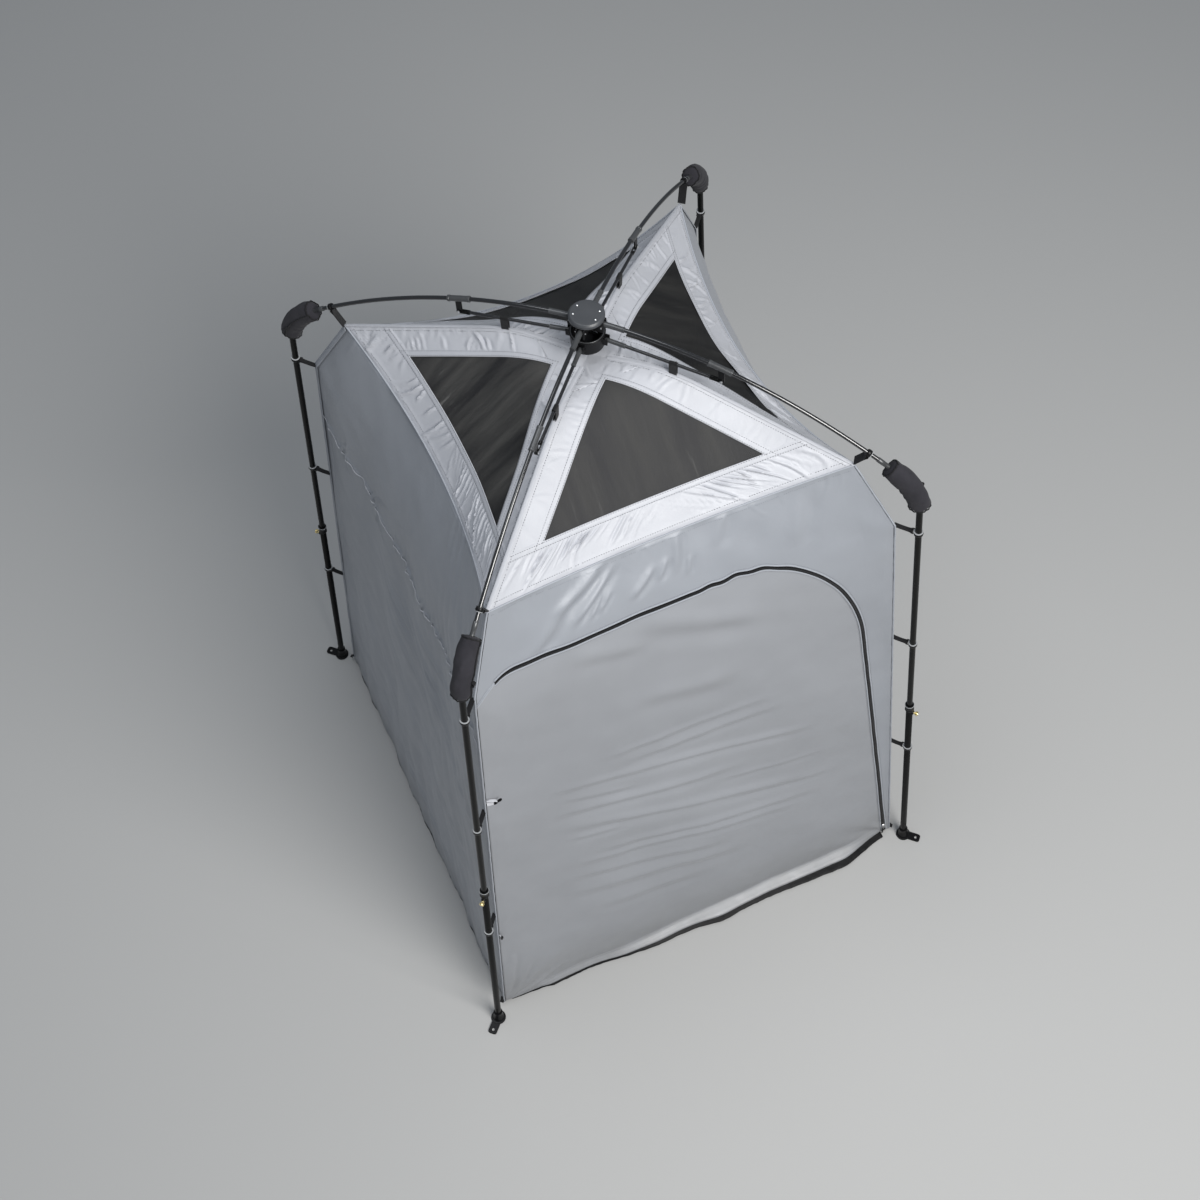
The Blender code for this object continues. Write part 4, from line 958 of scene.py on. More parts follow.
door_rows = np.concatenate([np.linspace(HEM_UP, 0.04, 24), np.linspace(0.043, 0.66, 210),
                            np.linspace(0.664, DOOR_TOP, 56)])
shares = np.concatenate([np.linspace(0.0, 0.10, 20), np.linspace(0.11, 0.88, 84), np.linspace(0.89, 1.0, 24)])
row_up, share = np.meshgrid(door_rows, shares, indexing="ij")
right = door_right(row_up)
left = left_edge(row_up)
door_across = left + (right - left) * share
top_left = left_edge(np.array(DOOR_TOP))
top_column = top_left + (ARC_START - top_left) * share
door_up = row_up * zip_rise(top_column) / DOOR_TOP
door_flat = np.stack([door_across * BASE_HALF, door_up * ROOF_EDGE_Z], axis=-1)
door_points = wall_surface("front", door_across, door_up, lift=-0.0002)
door = cloth_piece("door_cloth", [(door_points, door_flat)], door_cloth)
own(door, "door", ["door"])

# %% [markdown]
# The roof is one canopy: four fabric sides that meet along the hips, each with a triangular window
# framed by bands. It could be four flat panels, but then every seam would break the cloth, so here
# all bands of all four sides are grids that share their edges, welded into one curved sheet. The
# bands are gathered, so short slanted folds cross them. The folded hem of each window stands a
# little proud, and the outer band lies over the hip bands.

# %% The roof canopy
WINDOW_MARGIN = 0.096
WINDOW_END = 0.810 * ROOF_HALF
BAND_WIDTHS = np.array([0.096, 0.092, 0.088, 0.084, 0.079, 0.073, 0.067, 0.061, 0.055, 0.049, 0.043, 0.037,
                        0.031, 0.026, 0.021, 0.0178, 0.0160, 0.012, 0.008, 0.004, 0.0])
ROOF_SEEDS = {"front": 101, "right": 131, "back": 163, "left": 197}
HEM_WIDTH = 0.012

# How strongly the hip band and the outer band of each half of a side are gathered, which way the
# outer band's folds slant, and how coarse they are. The first entry is the half on a side's own left.
ROOF_GATHERS = {
    "front": ((0.22, 0.95, -1.50, 0.90), (0.22, 0.85, 1.70, 0.90)),
    "right": ((0.45, 0.90, -0.90, 0.90), (0.80, 0.70, 0.30, 1.0)),
    "back": ((0.80, 0.70, -0.50, 1.0), (0.60, 0.80, 0.60, 1.0)),
    "left": ((1.00, 1.45, -0.10, 0.85), (0.50, 1.30, 0.90, 0.62)),
}
# The share of each side's columns that lies on its own left half: more where the folds are finer.
ROOF_SPLIT = {"front": 0.5, "right": 0.5, "back": 0.5, "left": 0.37}


def band_places(x, d):
    # Distances in the roof's plan: from the window's slanted edge and its outer edge, and to the hip
    # and the eave.
    wide = np.abs(x)
    from_slant = (wide - (d - WINDOW_MARGIN)) / ROOT_TWO
    to_hip = np.maximum(d - wide, 0.0) / ROOT_TWO
    return from_slant, d - WINDOW_END, to_hip, np.maximum(ROOF_HALF - d, 0.0)


def band_relief(side, x, d):
    seed = ROOF_SEEDS[side]
    from_slant, from_outer, to_hip, to_eave = band_places(x, d)
    hip_run = (d + np.abs(x)) / ROOT_TWO
    on_hip_band = ease(from_slant, HEM_WIDTH, 0.022) * ease(to_hip, 0.0, 0.016)
    on_hip_band = on_hip_band * ease(-from_outer, -0.004, 0.014)
    on_outer = ease(from_outer, HEM_WIDTH, 0.022) * ease(to_eave, 0.0, 0.012) * ease(to_hip, 0.0, 0.03)
    relief = 0.0
    for number, (hip_strength, outer_strength, lean, coarse) in enumerate(ROOF_GATHERS[side]):
        here = ease(x if number else -x, -0.02, 0.02)
        from_hem = np.maximum(from_slant - HEM_WIDTH, 0.0)
        hip_folds = gathers(hip_run, from_hem, 0.070, 0.0170, 0.15, 0.0040, 0.0042, seed + 20 + number, 0.22)
        hip_folds += gathers(hip_run, to_hip, 0.045, 0.0150, 0.10, 0.0036, 0.0026, seed + 24 + number, 0.30)
        # Near the hub the bands are gathered in every case.
        strength = hip_strength + (1.0 - hip_strength) * 0.9 * (1.0 - ease(hip_run, 0.16, 0.28))
        from_hem = np.maximum(from_outer - HEM_WIDTH, 0.0)
        # Finer folds reach further out and leave fewer gaps.
        deep = 0.074 + 0.090 * max(0.9 - coarse, 0.0)
        gaps = 0.04 + 0.24 * max(coarse - 0.5, 0.0)
        outer_folds = gathers(x, from_hem, deep, 0.0195 * coarse, lean, 0.0042 * coarse, 0.0056 * coarse,
                              seed + 28 + number, gaps)
        outer_folds += gathers(x, to_eave, 0.034, 0.0300, -lean, 0.0050, 0.0008, seed + 32 + number, 0.30)
        # In the middle of a side the outer band is calmer.
        calm = 0.55 + 0.45 * ease(np.abs(x), 0.03, 0.16)
        hip_relief = strength * hip_folds * on_hip_band
        relief = relief + here * (hip_relief + outer_strength * calm * outer_folds * on_outer)
    hem = np.where(from_outer < 0.0, 1.0 - ease(from_slant, HEM_WIDTH - 0.0015, HEM_WIDTH + 0.0015),
                   1.0 - ease(from_outer, HEM_WIDTH - 0.0015, HEM_WIDTH + 0.0015))
    eave_hem = ease(-to_eave, -0.0155, -0.0125)
    relief = relief + 0.0010 * (hem + eave_hem) + 0.0004 * ease(from_outer, -0.002, 0.002)
    relief = relief + 0.0016 * dents(x, d, 0.22, seed + 3) * ease(to_hip, 0.0, 0.05)
    return relief * ease(to_hip, 0.0, 0.010) * ease(to_eave, 0.0, 0.008) * ease(d, 0.02, 0.06)


def band_gather(x, d):
    # 1 beside the rows of stitches round the windows, and less towards the hips and the eave.
    from_slant, from_outer, to_hip, to_eave = band_places(x, d)
    to_window = np.where(from_outer < 0.0, from_slant, np.maximum(from_outer, 0.0))
    near = np.exp(-(np.maximum(to_window - HEM_WIDTH, 0.0) / 0.010) ** 2)
    return np.clip(near + 0.8 * np.exp(-to_hip / 0.012) + 0.5 * np.exp(-to_eave / 0.010), 0.0, 1.0)


def roof_surface(side, x, d, lift=0.0):
    out = -normals_of(roof_place, x, np.maximum(d, 0.004), 0.001)
    relief = band_relief(side, x, d) + lift
    return quarter_turns(roof_place(x, d) + out * relief[..., None], side)


def roof_columns(d, side=None):
    # Sideways places of one row: the left band and, for a named side, the middle and the right band.
    # The middle's columns lean the way that the folds there do, so the folds run along them.
    if d >= WINDOW_MARGIN:
        left = -(d - WINDOW_MARGIN) - BAND_WIDTHS
    else:
        left = -d * BAND_WIDTHS / WINDOW_MARGIN
    if side is None:
        return left
    share = np.interp(np.linspace(0.0, 1.0, 196), [0.0, ROOF_SPLIT[side], 1.0], [-1.0, 0.0, 1.0])[1:-1]
    lean = np.where(share < 0.0, ROOF_GATHERS[side][0][2], ROOF_GATHERS[side][1][2])
    lean = (lean - share) * np.interp(np.abs(share), [0.0, 0.45, 0.60, 1.0], [0.0, 1.0, 1.0, 0.0])
    middle = -left[-1] * share + lean * (d - WINDOW_END)
    return np.concatenate([left, middle, -left[::-1]])


def roof_patch(side, rows, kind):
    x = np.stack([roof_columns(d, side if kind == "outer" else None) for d in rows])
    if kind == "right":
        x = -x[:, ::-1]
    d = np.broadcast_to(np.asarray(rows)[:, None], x.shape)
    turn = SIDES[side] * math.pi / 2.0
    flat = np.stack([x * math.cos(turn) + d * math.sin(turn), -d * math.cos(turn) + x * math.sin(turn)],
                    axis=-1)
    return roof_surface(side, x, d), flat, band_gather(x, d)


OUTER_BAND = 0.0865
OUTER_STEPS = (0, 0.01, 0.03, 0.06, 0.10, 0.15, 0.20, 0.26, 0.32, 0.38, 0.44, 0.50, 0.56, 0.62, 0.68,
               0.73, 0.78, 0.82, 0.84, 0.86, 0.88, 0.91, 0.95, 0.98, 1.0)
HIP_STEP = 0.00288
outer_rows = [ROOF_HALF - OUTER_BAND * step for step in OUTER_STEPS]
band_rows = [WINDOW_END - HIP_STEP * k for k in range(1, 95)]
hip_rows = [outer_rows[-1]] + [d for d in band_rows if d > WINDOW_MARGIN + 0.001] + [WINDOW_MARGIN]
tip_rows = list(np.linspace(WINDOW_MARGIN, 0.003, 30)) + [0.0]
patches = []
for side in SIDES:
    patches.append(roof_patch(side, outer_rows, "outer"))
    for kind in ("left", "right"):
        patches.append(roof_patch(side, hip_rows, kind))
        patches.append(roof_patch(side, tip_rows, kind))
canopy = cloth_piece("roof_canopy", patches, roof_cloth, weld=0.0004)
own(canopy, CABIN, ["roof_panel_" + side for side in SIDES])
print("canopy:", len(canopy.data.polygons), "faces in one sheet")

# %% [markdown]
# The canopy spans a square of 0.91 m, and it is cut a little larger for its arch. The windows are
# cut out of it, and each is filled by a single sheet of mesh that sags a little under the canopy.

for side in SIDES:
    rows = np.linspace(WINDOW_END + 0.006, WINDOW_MARGIN - 0.004, 72)
    shares = np.linspace(-1.0, 1.0, 60)
    reach = np.clip(rows - WINDOW_MARGIN + 0.006, 0.0, None)
    x = reach[:, None] * shares[None, :]
    d = np.broadcast_to(rows[:, None], x.shape)
    slack = (1.0 - shares[None, :] ** 2) * ease(WINDOW_END - d, 0.0, 0.12) * ease(d, WINDOW_MARGIN, 0.2)
    seed = ROOF_SEEDS[side] + 9
    # The sheet sags, and a few taut folds run across it from edge to edge.
    folds = 0.0024 * dents(x + 0.25 * d, d * 0.12, 0.11, seed, 6) * slack
    lift = -0.0016 - 0.006 * slack + folds
    out = -normals_of(roof_place, x, d, 0.001)
    points = quarter_turns(roof_place(x, d) + out * lift[..., None], side)
    flat = np.stack([x, -d], axis=-1)
    screen = cloth_piece("window_mesh_" + side, [(points, flat)], window_meshes_shaded_per_side[side], weld=0.0)
    # The mesh is a single layer, because its alpha would show both sides of a thick one.
    screen.modifiers.clear()
    own(screen, CABIN, ["roof_mesh_" + side])

# %% [markdown]
# Tubes, pipings and bindings are all a round section carried along a path. Geometry Nodes does
# this for every one of them: the path is a line of points that carries its own radius, the tree
# turns it into a curve, sweeps a circle along it, caps its ends and stores a UV map in metres.

# %% A node tree that sweeps a tube along a path
def tree_input(tree, name, kind, value=None):
    socket = tree.interface.new_socket(name=name, in_out="INPUT", socket_type=kind)
    if value is not None:
        socket.default_value = value
    return socket


def start_tree(name, inputs):
    tree = bpy.data.node_groups.new(name, "GeometryNodeTree")
    tree_input(tree, "Path", "NodeSocketGeometry")
    for label, kind, value in inputs:
        tree_input(tree, label, kind, value)
    tree_input(tree, "Material", "NodeSocketMaterial")
    tree.interface.new_socket(name="Piece", in_out="OUTPUT", socket_type="NodeSocketGeometry")
    return tree, tree.nodes.new("NodeGroupInput").outputs


def end_tree(tree, shape, inputs, shade_smooth=True):
    last = shape
    if shade_smooth:
        soft = tree.nodes.new("GeometryNodeSetShadeSmooth")
        join(tree, last, soft.inputs["Geometry"])
        last = soft.outputs[0]
    real = tree.nodes.new("GeometryNodeRealizeInstances")
    join(tree, last, real.inputs[0])
    painted = tree.nodes.new("GeometryNodeSetMaterial")
    join(tree, real.outputs[0], painted.inputs["Geometry"])
    join(tree, inputs["Material"], painted.inputs["Material"])
    join(tree, painted.outputs[0], tree.nodes.new("NodeGroupOutput").inputs[0])
    return tree


def captured(tree, geometry, value):
    catch = tree.nodes.new("GeometryNodeCaptureAttribute")
    catch.capture_items.new("FLOAT", "Caught")
    join(tree, geometry, catch.inputs[0])
    join(tree, value, catch.inputs[1])
    return catch.outputs[0], catch.outputs[1]


def named_value(tree, name, kind="FLOAT"):
    node = tree.nodes.new("GeometryNodeInputNamedAttribute")
    node.data_type = kind
    node.inputs["Name"].default_value = name
    return node.outputs["Attribute"]


def tube_tree():
    tree, inputs = start_tree("tube_along_path", [("Sides", "NodeSocketInt", 24)])
    line = tree.nodes.new("GeometryNodeMeshToCurve")
    join(tree, inputs["Path"], line.inputs[0])
    length = tree.nodes.new("GeometryNodeSplineParameter").outputs["Length"]
    curve, along = captured(tree, line.outputs[0], length)
    circle = tree.nodes.new("GeometryNodeCurvePrimitiveCircle")
    circle.inputs["Radius"].default_value = 1.0
    join(tree, inputs["Sides"], circle.inputs["Resolution"])
    share = tree.nodes.new("GeometryNodeSplineParameter").outputs["Factor"]
    ring, around = captured(tree, circle.outputs[0], share)
    swept = tree.nodes.new("GeometryNodeCurveToMesh")
    join(tree, curve, swept.inputs["Curve"])
    join(tree, ring, swept.inputs["Profile Curve"])
    join(tree, named_value(tree, "tube_radius"), swept.inputs["Scale"])
    swept.inputs["Fill Caps"].default_value = True
    place = tree.nodes.new("ShaderNodeCombineXYZ")
    join(tree, along, place.inputs["X"])
    join(tree, maths(tree, "MULTIPLY", around, 0.03), place.inputs["Y"])
    stored = tree.nodes.new("GeometryNodeStoreNamedAttribute")
    stored.data_type = "FLOAT2"
    stored.domain = "CORNER"
    stored.inputs["Name"].default_value = "cloth"
    join(tree, swept.outputs[0], stored.inputs["Geometry"])
    join(tree, place.outputs[0], stored.inputs["Value"])
    return end_tree(tree, stored.outputs[0], inputs)


def path_mesh(name, paths, radii=None, normals=None):
    # Lines of points that carry a radius each, or the normal of the cloth that they lie on.
    points = np.concatenate([np.asarray(p, float) for p in paths])
    edges = []
    first = 0
    for p in paths:
        edges += [(first + k, first + k + 1) for k in range(len(p) - 1)]
        first += len(p)
    mesh = bpy.data.meshes.new(name)
    mesh.from_pydata(points.tolist(), edges, [])
    if radii is not None:
        layer = mesh.attributes.new("tube_radius", "FLOAT", "POINT")
        wide = np.concatenate([np.broadcast_to(r, len(p)) for r, p in zip(radii, paths)])
        layer.data.foreach_set("value", wide.astype(np.float32))
    if normals is not None:
        layer = mesh.attributes.new("surface_normal", "FLOAT_VECTOR", "POINT")
        layer.data.foreach_set("vector", np.concatenate(normals).astype(np.float32).ravel())
    return mesh


def grown(name, mesh, tree, settings, sharp=None):
    # Run a node tree on a mesh, and keep only the plain mesh that it makes.
    holder = bpy.data.objects.new(name + "_path", mesh)
    bpy.context.scene.collection.objects.link(holder)
    modifier = holder.modifiers.new("grow", "NODES")
    modifier.node_group = tree
    for item in tree.interface.items_tree:
        if item.item_type == "SOCKET" and item.in_out == "INPUT" and item.name in settings:
            modifier[item.identifier] = settings[item.name]
    deps = bpy.context.evaluated_depsgraph_get()
    made = bpy.data.meshes.new_from_object(holder.evaluated_get(deps), preserve_all_data_layers=True,
                                           depsgraph=deps)
    made.name = name
    bpy.data.objects.remove(holder)
    if sharp:
        made.set_sharp_from_angle(angle=math.radians(sharp))
    return new_object(name, made, None)


TUBE_TREE = tube_tree()


def tube_piece(name, paths, radii, material, body, stands_for=(), sides=20, sharp=35.0):
    mesh = path_mesh(name, paths, radii)
    tube = grown(name, mesh, TUBE_TREE, {"Sides": sides, "Material": material}, sharp)
    return own(tube, body, stands_for)


print("tube tree:", len(TUBE_TREE.nodes), "nodes")

# %% [markdown]
# Stitches and zip teeth repeat by the hundred. A second tree sets one small shape at even
# steps along a path and turns it to the path and to the cloth: its X axis follows the path and its
# Z axis follows the stored surface normal. One version sets beads, the other sets small blocks.

# %% A node tree that repeats a small shape along a path
def repeat_tree(name, shape):
    tree, inputs = start_tree(name, [("Pitch", "NodeSocketFloat", 0.005),
                                     ("Size", "NodeSocketVector", (0.003, 0.0008, 0.0008))])
    line = tree.nodes.new("GeometryNodeMeshToCurve")
    join(tree, inputs["Path"], line.inputs[0])
    dots = tree.nodes.new("GeometryNodeCurveToPoints")
    dots.mode = "LENGTH"
    join(tree, line.outputs[0], dots.inputs["Curve"])
    join(tree, inputs["Pitch"], dots.inputs["Length"])
    stand = tree.nodes.new("FunctionNodeAlignRotationToVector")
    stand.axis = "Z"
    join(tree, named_value(tree, "surface_normal", "FLOAT_VECTOR"), stand.inputs["Vector"])
    face = tree.nodes.new("FunctionNodeAlignRotationToVector")
    face.axis = "X"
    face.pivot_axis = "Z"
    join(tree, stand.outputs[0], face.inputs["Rotation"])
    join(tree, dots.outputs["Tangent"], face.inputs["Vector"])
    grain = tree.nodes.new(shape)
    if shape == "GeometryNodeMeshCube":
        grain.inputs["Size"].default_value = (1.0, 1.0, 1.0)
    else:
        grain.inputs["Radius"].default_value = 0.5
        grain.inputs["Subdivisions"].default_value = 1
    placed = tree.nodes.new("GeometryNodeInstanceOnPoints")
    join(tree, dots.outputs["Points"], placed.inputs["Points"])
    join(tree, grain.outputs[0], placed.inputs["Instance"])
    join(tree, face.outputs[0], placed.inputs["Rotation"])
    join(tree, inputs["Size"], placed.inputs["Scale"])
    return end_tree(tree, placed.outputs[0], inputs, shape != "GeometryNodeMeshCube")


STITCH_TREE = repeat_tree("stitches_along_path", "GeometryNodeMeshIcoSphere")
TEETH_TREE = repeat_tree("blocks_along_path", "GeometryNodeMeshCube")


def repeat_piece(name, tree, rows, pitch, size, material, body):
    mesh = path_mesh(name, [p for p, _ in rows], None, [n for _, n in rows])
    piece = grown(name, mesh, tree, {"Pitch": pitch, "Size": size, "Material": material})
    print(name, "faces:", len(piece.data.polygons))
    return own(piece, body)


print("repeat trees ready")

# %% [markdown]
# The frame stands on the footprint's diagonals. A point of it is given by its distance out along a
# diagonal, its height, and a step across. These helpers repeat the CAD's straight legs, arched
# poles and sloping struts, and turn a flat profile round an axis where a piece is turned.

# %% The frame's own lines
UP = np.array([0.0, 0.0, 1.0])
# Where a strut leaves the lower hub and where it ends: out along the diagonal, and height.
STRUT_INNER = (0.0415, 2.045)
STRUT_OUTER = (0.300, 2.010)


def diagonal(corner, radial, z, across=0.0):
    sx, sy = CORNERS[corner]
    return np.array([(sx * radial - sy * across) / ROOT_TWO, (sy * radial + sx * across) / ROOT_TWO, z])


def leg_radial(z):
    return (FOOT_HALF + (LEG_TOP_HALF - FOOT_HALF) * z / LEG_TOP_Z) * ROOT_TWO


def leg_spot(corner, z):
    return diagonal(corner, leg_radial(z), z)


def pole_z(radial):
    return POLE_HUB_Z - POLE_ARCH * radial * radial


def strut_z(radial):
    share = (radial - STRUT_INNER[0]) / (STRUT_OUTER[0] - STRUT_INNER[0])
    return STRUT_INNER[1] + (STRUT_OUTER[1] - STRUT_INNER[1]) * share


def unit(v):
    return np.asarray(v, float) / np.linalg.norm(v)


def unit_rows(ways):
    return ways / np.linalg.norm(ways, axis=1, keepdims=True)


def corner_ways(corner):
    # Out along a corner's diagonal, and across it.
    return diagonal(corner, 1.0, 0.0), diagonal(corner, 0.0, 0.0, 1.0)


def turned_shape(profile, place, way, sides=32):
    # profile is a list of (radius, distance along the axis); a radius of 0 closes an end in a pole.
    way = unit(way)
    side = unit(np.cross(way, (0.0, 0.0, 1.0) if abs(way[2]) < 0.9 else (1.0, 0.0, 0.0)))
    other = np.cross(way, side)
    points, faces, rings = [], [], []
    for radius, reach in profile:
        centre = np.asarray(place, float) + way * reach
        if radius == 0.0:
            rings.append([len(points)])
            points.append(centre)
            continue
        rings.append(list(range(len(points), len(points) + sides)))
        for k in range(sides):
            turn = 2.0 * math.pi * k / sides
            points.append(centre + radius * (math.cos(turn) * side + math.sin(turn) * other))
    pairs = list(zip(rings, rings[1:]))
    if profile[0][0] != 0.0 or profile[-1][0] != 0.0:
        pairs.append((rings[-1], rings[0]))
    for low, high in pairs:
        for k in range(sides):
            a, b = low[k % len(low)], low[(k + 1) % len(low)]
            c, d = high[(k + 1) % len(high)], high[k % len(high)]
            faces.append([v for n, v in enumerate((a, b, c, d)) if v not in (a, b, c, d)[:n]])
    return points, faces


def rounded(profile, radius, steps=3):
    # Cut the corners of an open profile with small arcs, so that edges catch the light.
    out = [profile[0]]
    for before, here, after in zip(profile, profile[1:], profile[2:]):
        b, h, a = (np.array(p, float) for p in (before, here, after))
        to_b, to_a = b - h, a - h
        cut = min(radius, 0.45 * np.linalg.norm(to_b), 0.45 * np.linalg.norm(to_a))
        start, stop = h + unit(to_b) * cut, h + unit(to_a) * cut
        for k in range(steps + 1):
            t = k / steps
            out.append(tuple((1 - t) ** 2 * start + 2 * t * (1 - t) * h + t * t * stop))
    return out + [profile[-1]]


def closed_turn(profile, radius, place, way, sides):
    # A turned shape whose profile starts and ends on the axis, with its corners rounded.
    return turned_shape([profile[0]] + rounded(profile[1:-1], radius) + [profile[-1]], place, way, sides)


def block_shape(middle, size, axes):
    # A box with its own three axes; the edges are rounded by a bevel afterwards.
    axes = [unit(a) for a in axes]
    corners = [(x, y, z) for z in (-1, 1) for x, y in ((-1, -1), (1, -1), (1, 1), (-1, 1))]
    points = [np.asarray(middle, float) + sum(s * h / 2.0 * a for s, h, a in zip(signs, size, axes))
              for signs in corners]
    faces = [(0, 3, 2, 1), (4, 5, 6, 7), (0, 1, 5, 4), (1, 2, 6, 5), (2, 3, 7, 6), (3, 0, 4, 7)]
    return points, faces


def closed_mesh(name, points, faces):
    # A mesh with all its faces turned outwards.
    mesh = bpy.data.meshes.new(name)
    mesh.from_pydata(points, [], faces)
    bm = bmesh.new()
    bm.from_mesh(mesh)
    bmesh.ops.recalc_face_normals(bm, faces=bm.faces)
    bm.to_mesh(mesh)
    bm.free()
    return mesh


def joined_mesh(name, parts):
    # Each part starts with its points and its faces.
    points, faces = [], []
    for part in parts:
        first = len(points)
        points += [tuple(p) for p in part[0]]
        faces += [tuple(first + v for v in face) for face in part[1]]
    return closed_mesh(name, points, faces)


def solid_piece(name, parts, material, body, stands_for=(), bevel=0.0, sharp=35.0, segments=2):
    mesh = joined_mesh(name, parts)
    smooth(mesh, sharp)
    piece = new_object(name, mesh, material)
    if bevel:
        edge = piece.modifiers.new("soft_edges", "BEVEL")
        edge.width = bevel
        edge.segments = segments
        edge.limit_method = "ANGLE"
        edge.angle_limit = math.radians(40.0)
    return own(piece, body, stands_for)


ends = [leg_spot("front_left", z).round(3) for z in (0.0, LEG_TOP_Z)]
print("leg foot at", ends[0], "leg top at", ends[1])

# %% [markdown]
# Four arched poles run from the hub to the elbows. Each is a thin coated tube with a grey ferrule
# at the hub, a plain metal end at the elbow, and a moulded bracket in the middle, which the strut
# under it hinges on. The tube tree sweeps each of them; only the paths and radii differ.

# %% Roof poles, brackets and struts
# A sleeve's profile is a row of places out along the diagonal, and its radius at each of them.
POLE_FERRULE = ((0.0363, 0.0385, 0.0390, 0.0400, 0.060, 0.0850, 0.0868, 0.0874, 0.0900, 0.0905),
                (0.0058, 0.0066, 0.0067, 0.0067, 0.0065, 0.0064, 0.0064, 0.0068, 0.0068, 0.0056))
STRUT_FERRULE = ((0.0440, 0.0450, 0.060, 0.0868, 0.0874, 0.0910, 0.0920),
                 (0.0050, 0.0056, 0.0055, 0.0054, 0.0058, 0.0058, 0.0044))
POLE_TIP = ((0.6940, 0.6950, 0.7080, 0.7086, 0.7215), (0.0054, 0.0062, 0.0062, 0.0058, 0.0058))
BRACKET_SLEEVE = ((0.2868, 0.2876, 0.2930, 0.2938, 0.3300, 0.3382, 0.3390, 0.3436, 0.3444),
                  (0.0064, 0.0078, 0.0078, 0.0071, 0.0071, 0.0071, 0.0078, 0.0078, 0.0062))
LUG_DISC = [(0.0, -0.0020), (0.0072, -0.0020), (0.0072, 0.0020), (0.0, 0.0020)]
BOLT_HEAD = [(0.0, 0.0062), (0.0020, 0.0060), (0.0033, 0.0050), (0.0034, 0.0034), (0.0, 0.0034)]
# How far out the bracket's lug, the fork's two prongs and its neck lie, and the pivot's height.
LUG_AT = 0.3185
FORK_AT = 0.3100
NECK_AT = 0.2955
PIVOT_Z = 2.008


def frame_line(corner, places, height):
    # Points over a diagonal, at the height that a pole or a strut has there.
    return np.array([diagonal(corner, radial, height(radial)) for radial in places])


for corner in CORNERS:
    pole_line = frame_line(corner, np.linspace(POLE_FERRULE[0][0], POLE_END - 0.0003, 70), pole_z)
    tube_piece("roof_pole_tube_" + corner, [pole_line], [0.0050], glossy_steel, CABIN,
               ["roof_pole_" + corner])
    ferrules = [frame_line(corner, POLE_FERRULE[0], pole_z), frame_line(corner, STRUT_FERRULE[0], strut_z)]
    tube_piece("ferrules_" + corner, ferrules, [POLE_FERRULE[1], STRUT_FERRULE[1]], grey_ferrule, CABIN)
    tube_piece("pole_end_" + corner, [frame_line(corner, POLE_TIP[0], pole_z)], [POLE_TIP[1]], grey_ferrule,
               CABIN)

    # The bracket is a sleeve with raised ends, a flat lug under it and a cross bolt.
    tube_piece("bracket_sleeve_" + corner, [frame_line(corner, BRACKET_SLEEVE[0], pole_z)],
               [BRACKET_SLEEVE[1]], grey_ferrule, CABIN, (), 24)
    radial_way, across_way = corner_ways(corner)
    lug_top = pole_z(LUG_AT) - 0.004
    lug_middle = diagonal(corner, LUG_AT, (PIVOT_Z + lug_top) / 2.0)
    lug = [block_shape(lug_middle, (0.0150, 0.0040, lug_top - PIVOT_Z), (radial_way, across_way, UP)),
           turned_shape(LUG_DISC, diagonal(corner, 0.3190, PIVOT_Z), across_way, 28)]
    solid_piece("bracket_lug_" + corner, lug, black_plastic, CABIN, (), 0.0008)
    pivot = diagonal(corner, 0.320, PIVOT_Z)
    bolt = [turned_shape(BOLT_HEAD, pivot, sign * across_way, 16) for sign in (-1.0, 1.0)]
    solid_piece("strut_bolt_" + corner, bolt, bare_metal, CABIN)

    # The strut is a thin rod whose end is a fork round the lug.
    strut_line = frame_line(corner, np.linspace(0.0420, 0.2990, 24), strut_z)
    tube_piece("strut_rod_" + corner, [strut_line], [0.0040], glossy_steel, CABIN,
               ["strut_" + corner], 16)
    inner, outer = frame_line(corner, (0.100, 0.300), strut_z)
    strut_way = unit(outer - inner)
    axes = (strut_way, across_way, np.cross(strut_way, across_way))
    prongs = [diagonal(corner, FORK_AT, strut_z(FORK_AT), sign * 0.0034) for sign in (-1.0, 1.0)]
    fork = [block_shape(prong, (0.030, 0.0018, 0.0078), axes) for prong in prongs]
    fork.append(block_shape(diagonal(corner, NECK_AT, strut_z(NECK_AT)), (0.008, 0.0086, 0.0078), axes))
    solid_piece("strut_fork_" + corner, fork, coated_steel, CABIN, (), 0.0009)
print("poles, brackets and struts done")

# %% [markdown]
# The hub is a grey moulded disc on a short black stem, and under it an open black cup that slides up
# when the tent is opened. Both are turned shapes. The poles and struts end between pairs of blocks
# on them. Four rivets hold the disc; each is the bead of the stitches, set by the repeat tree.

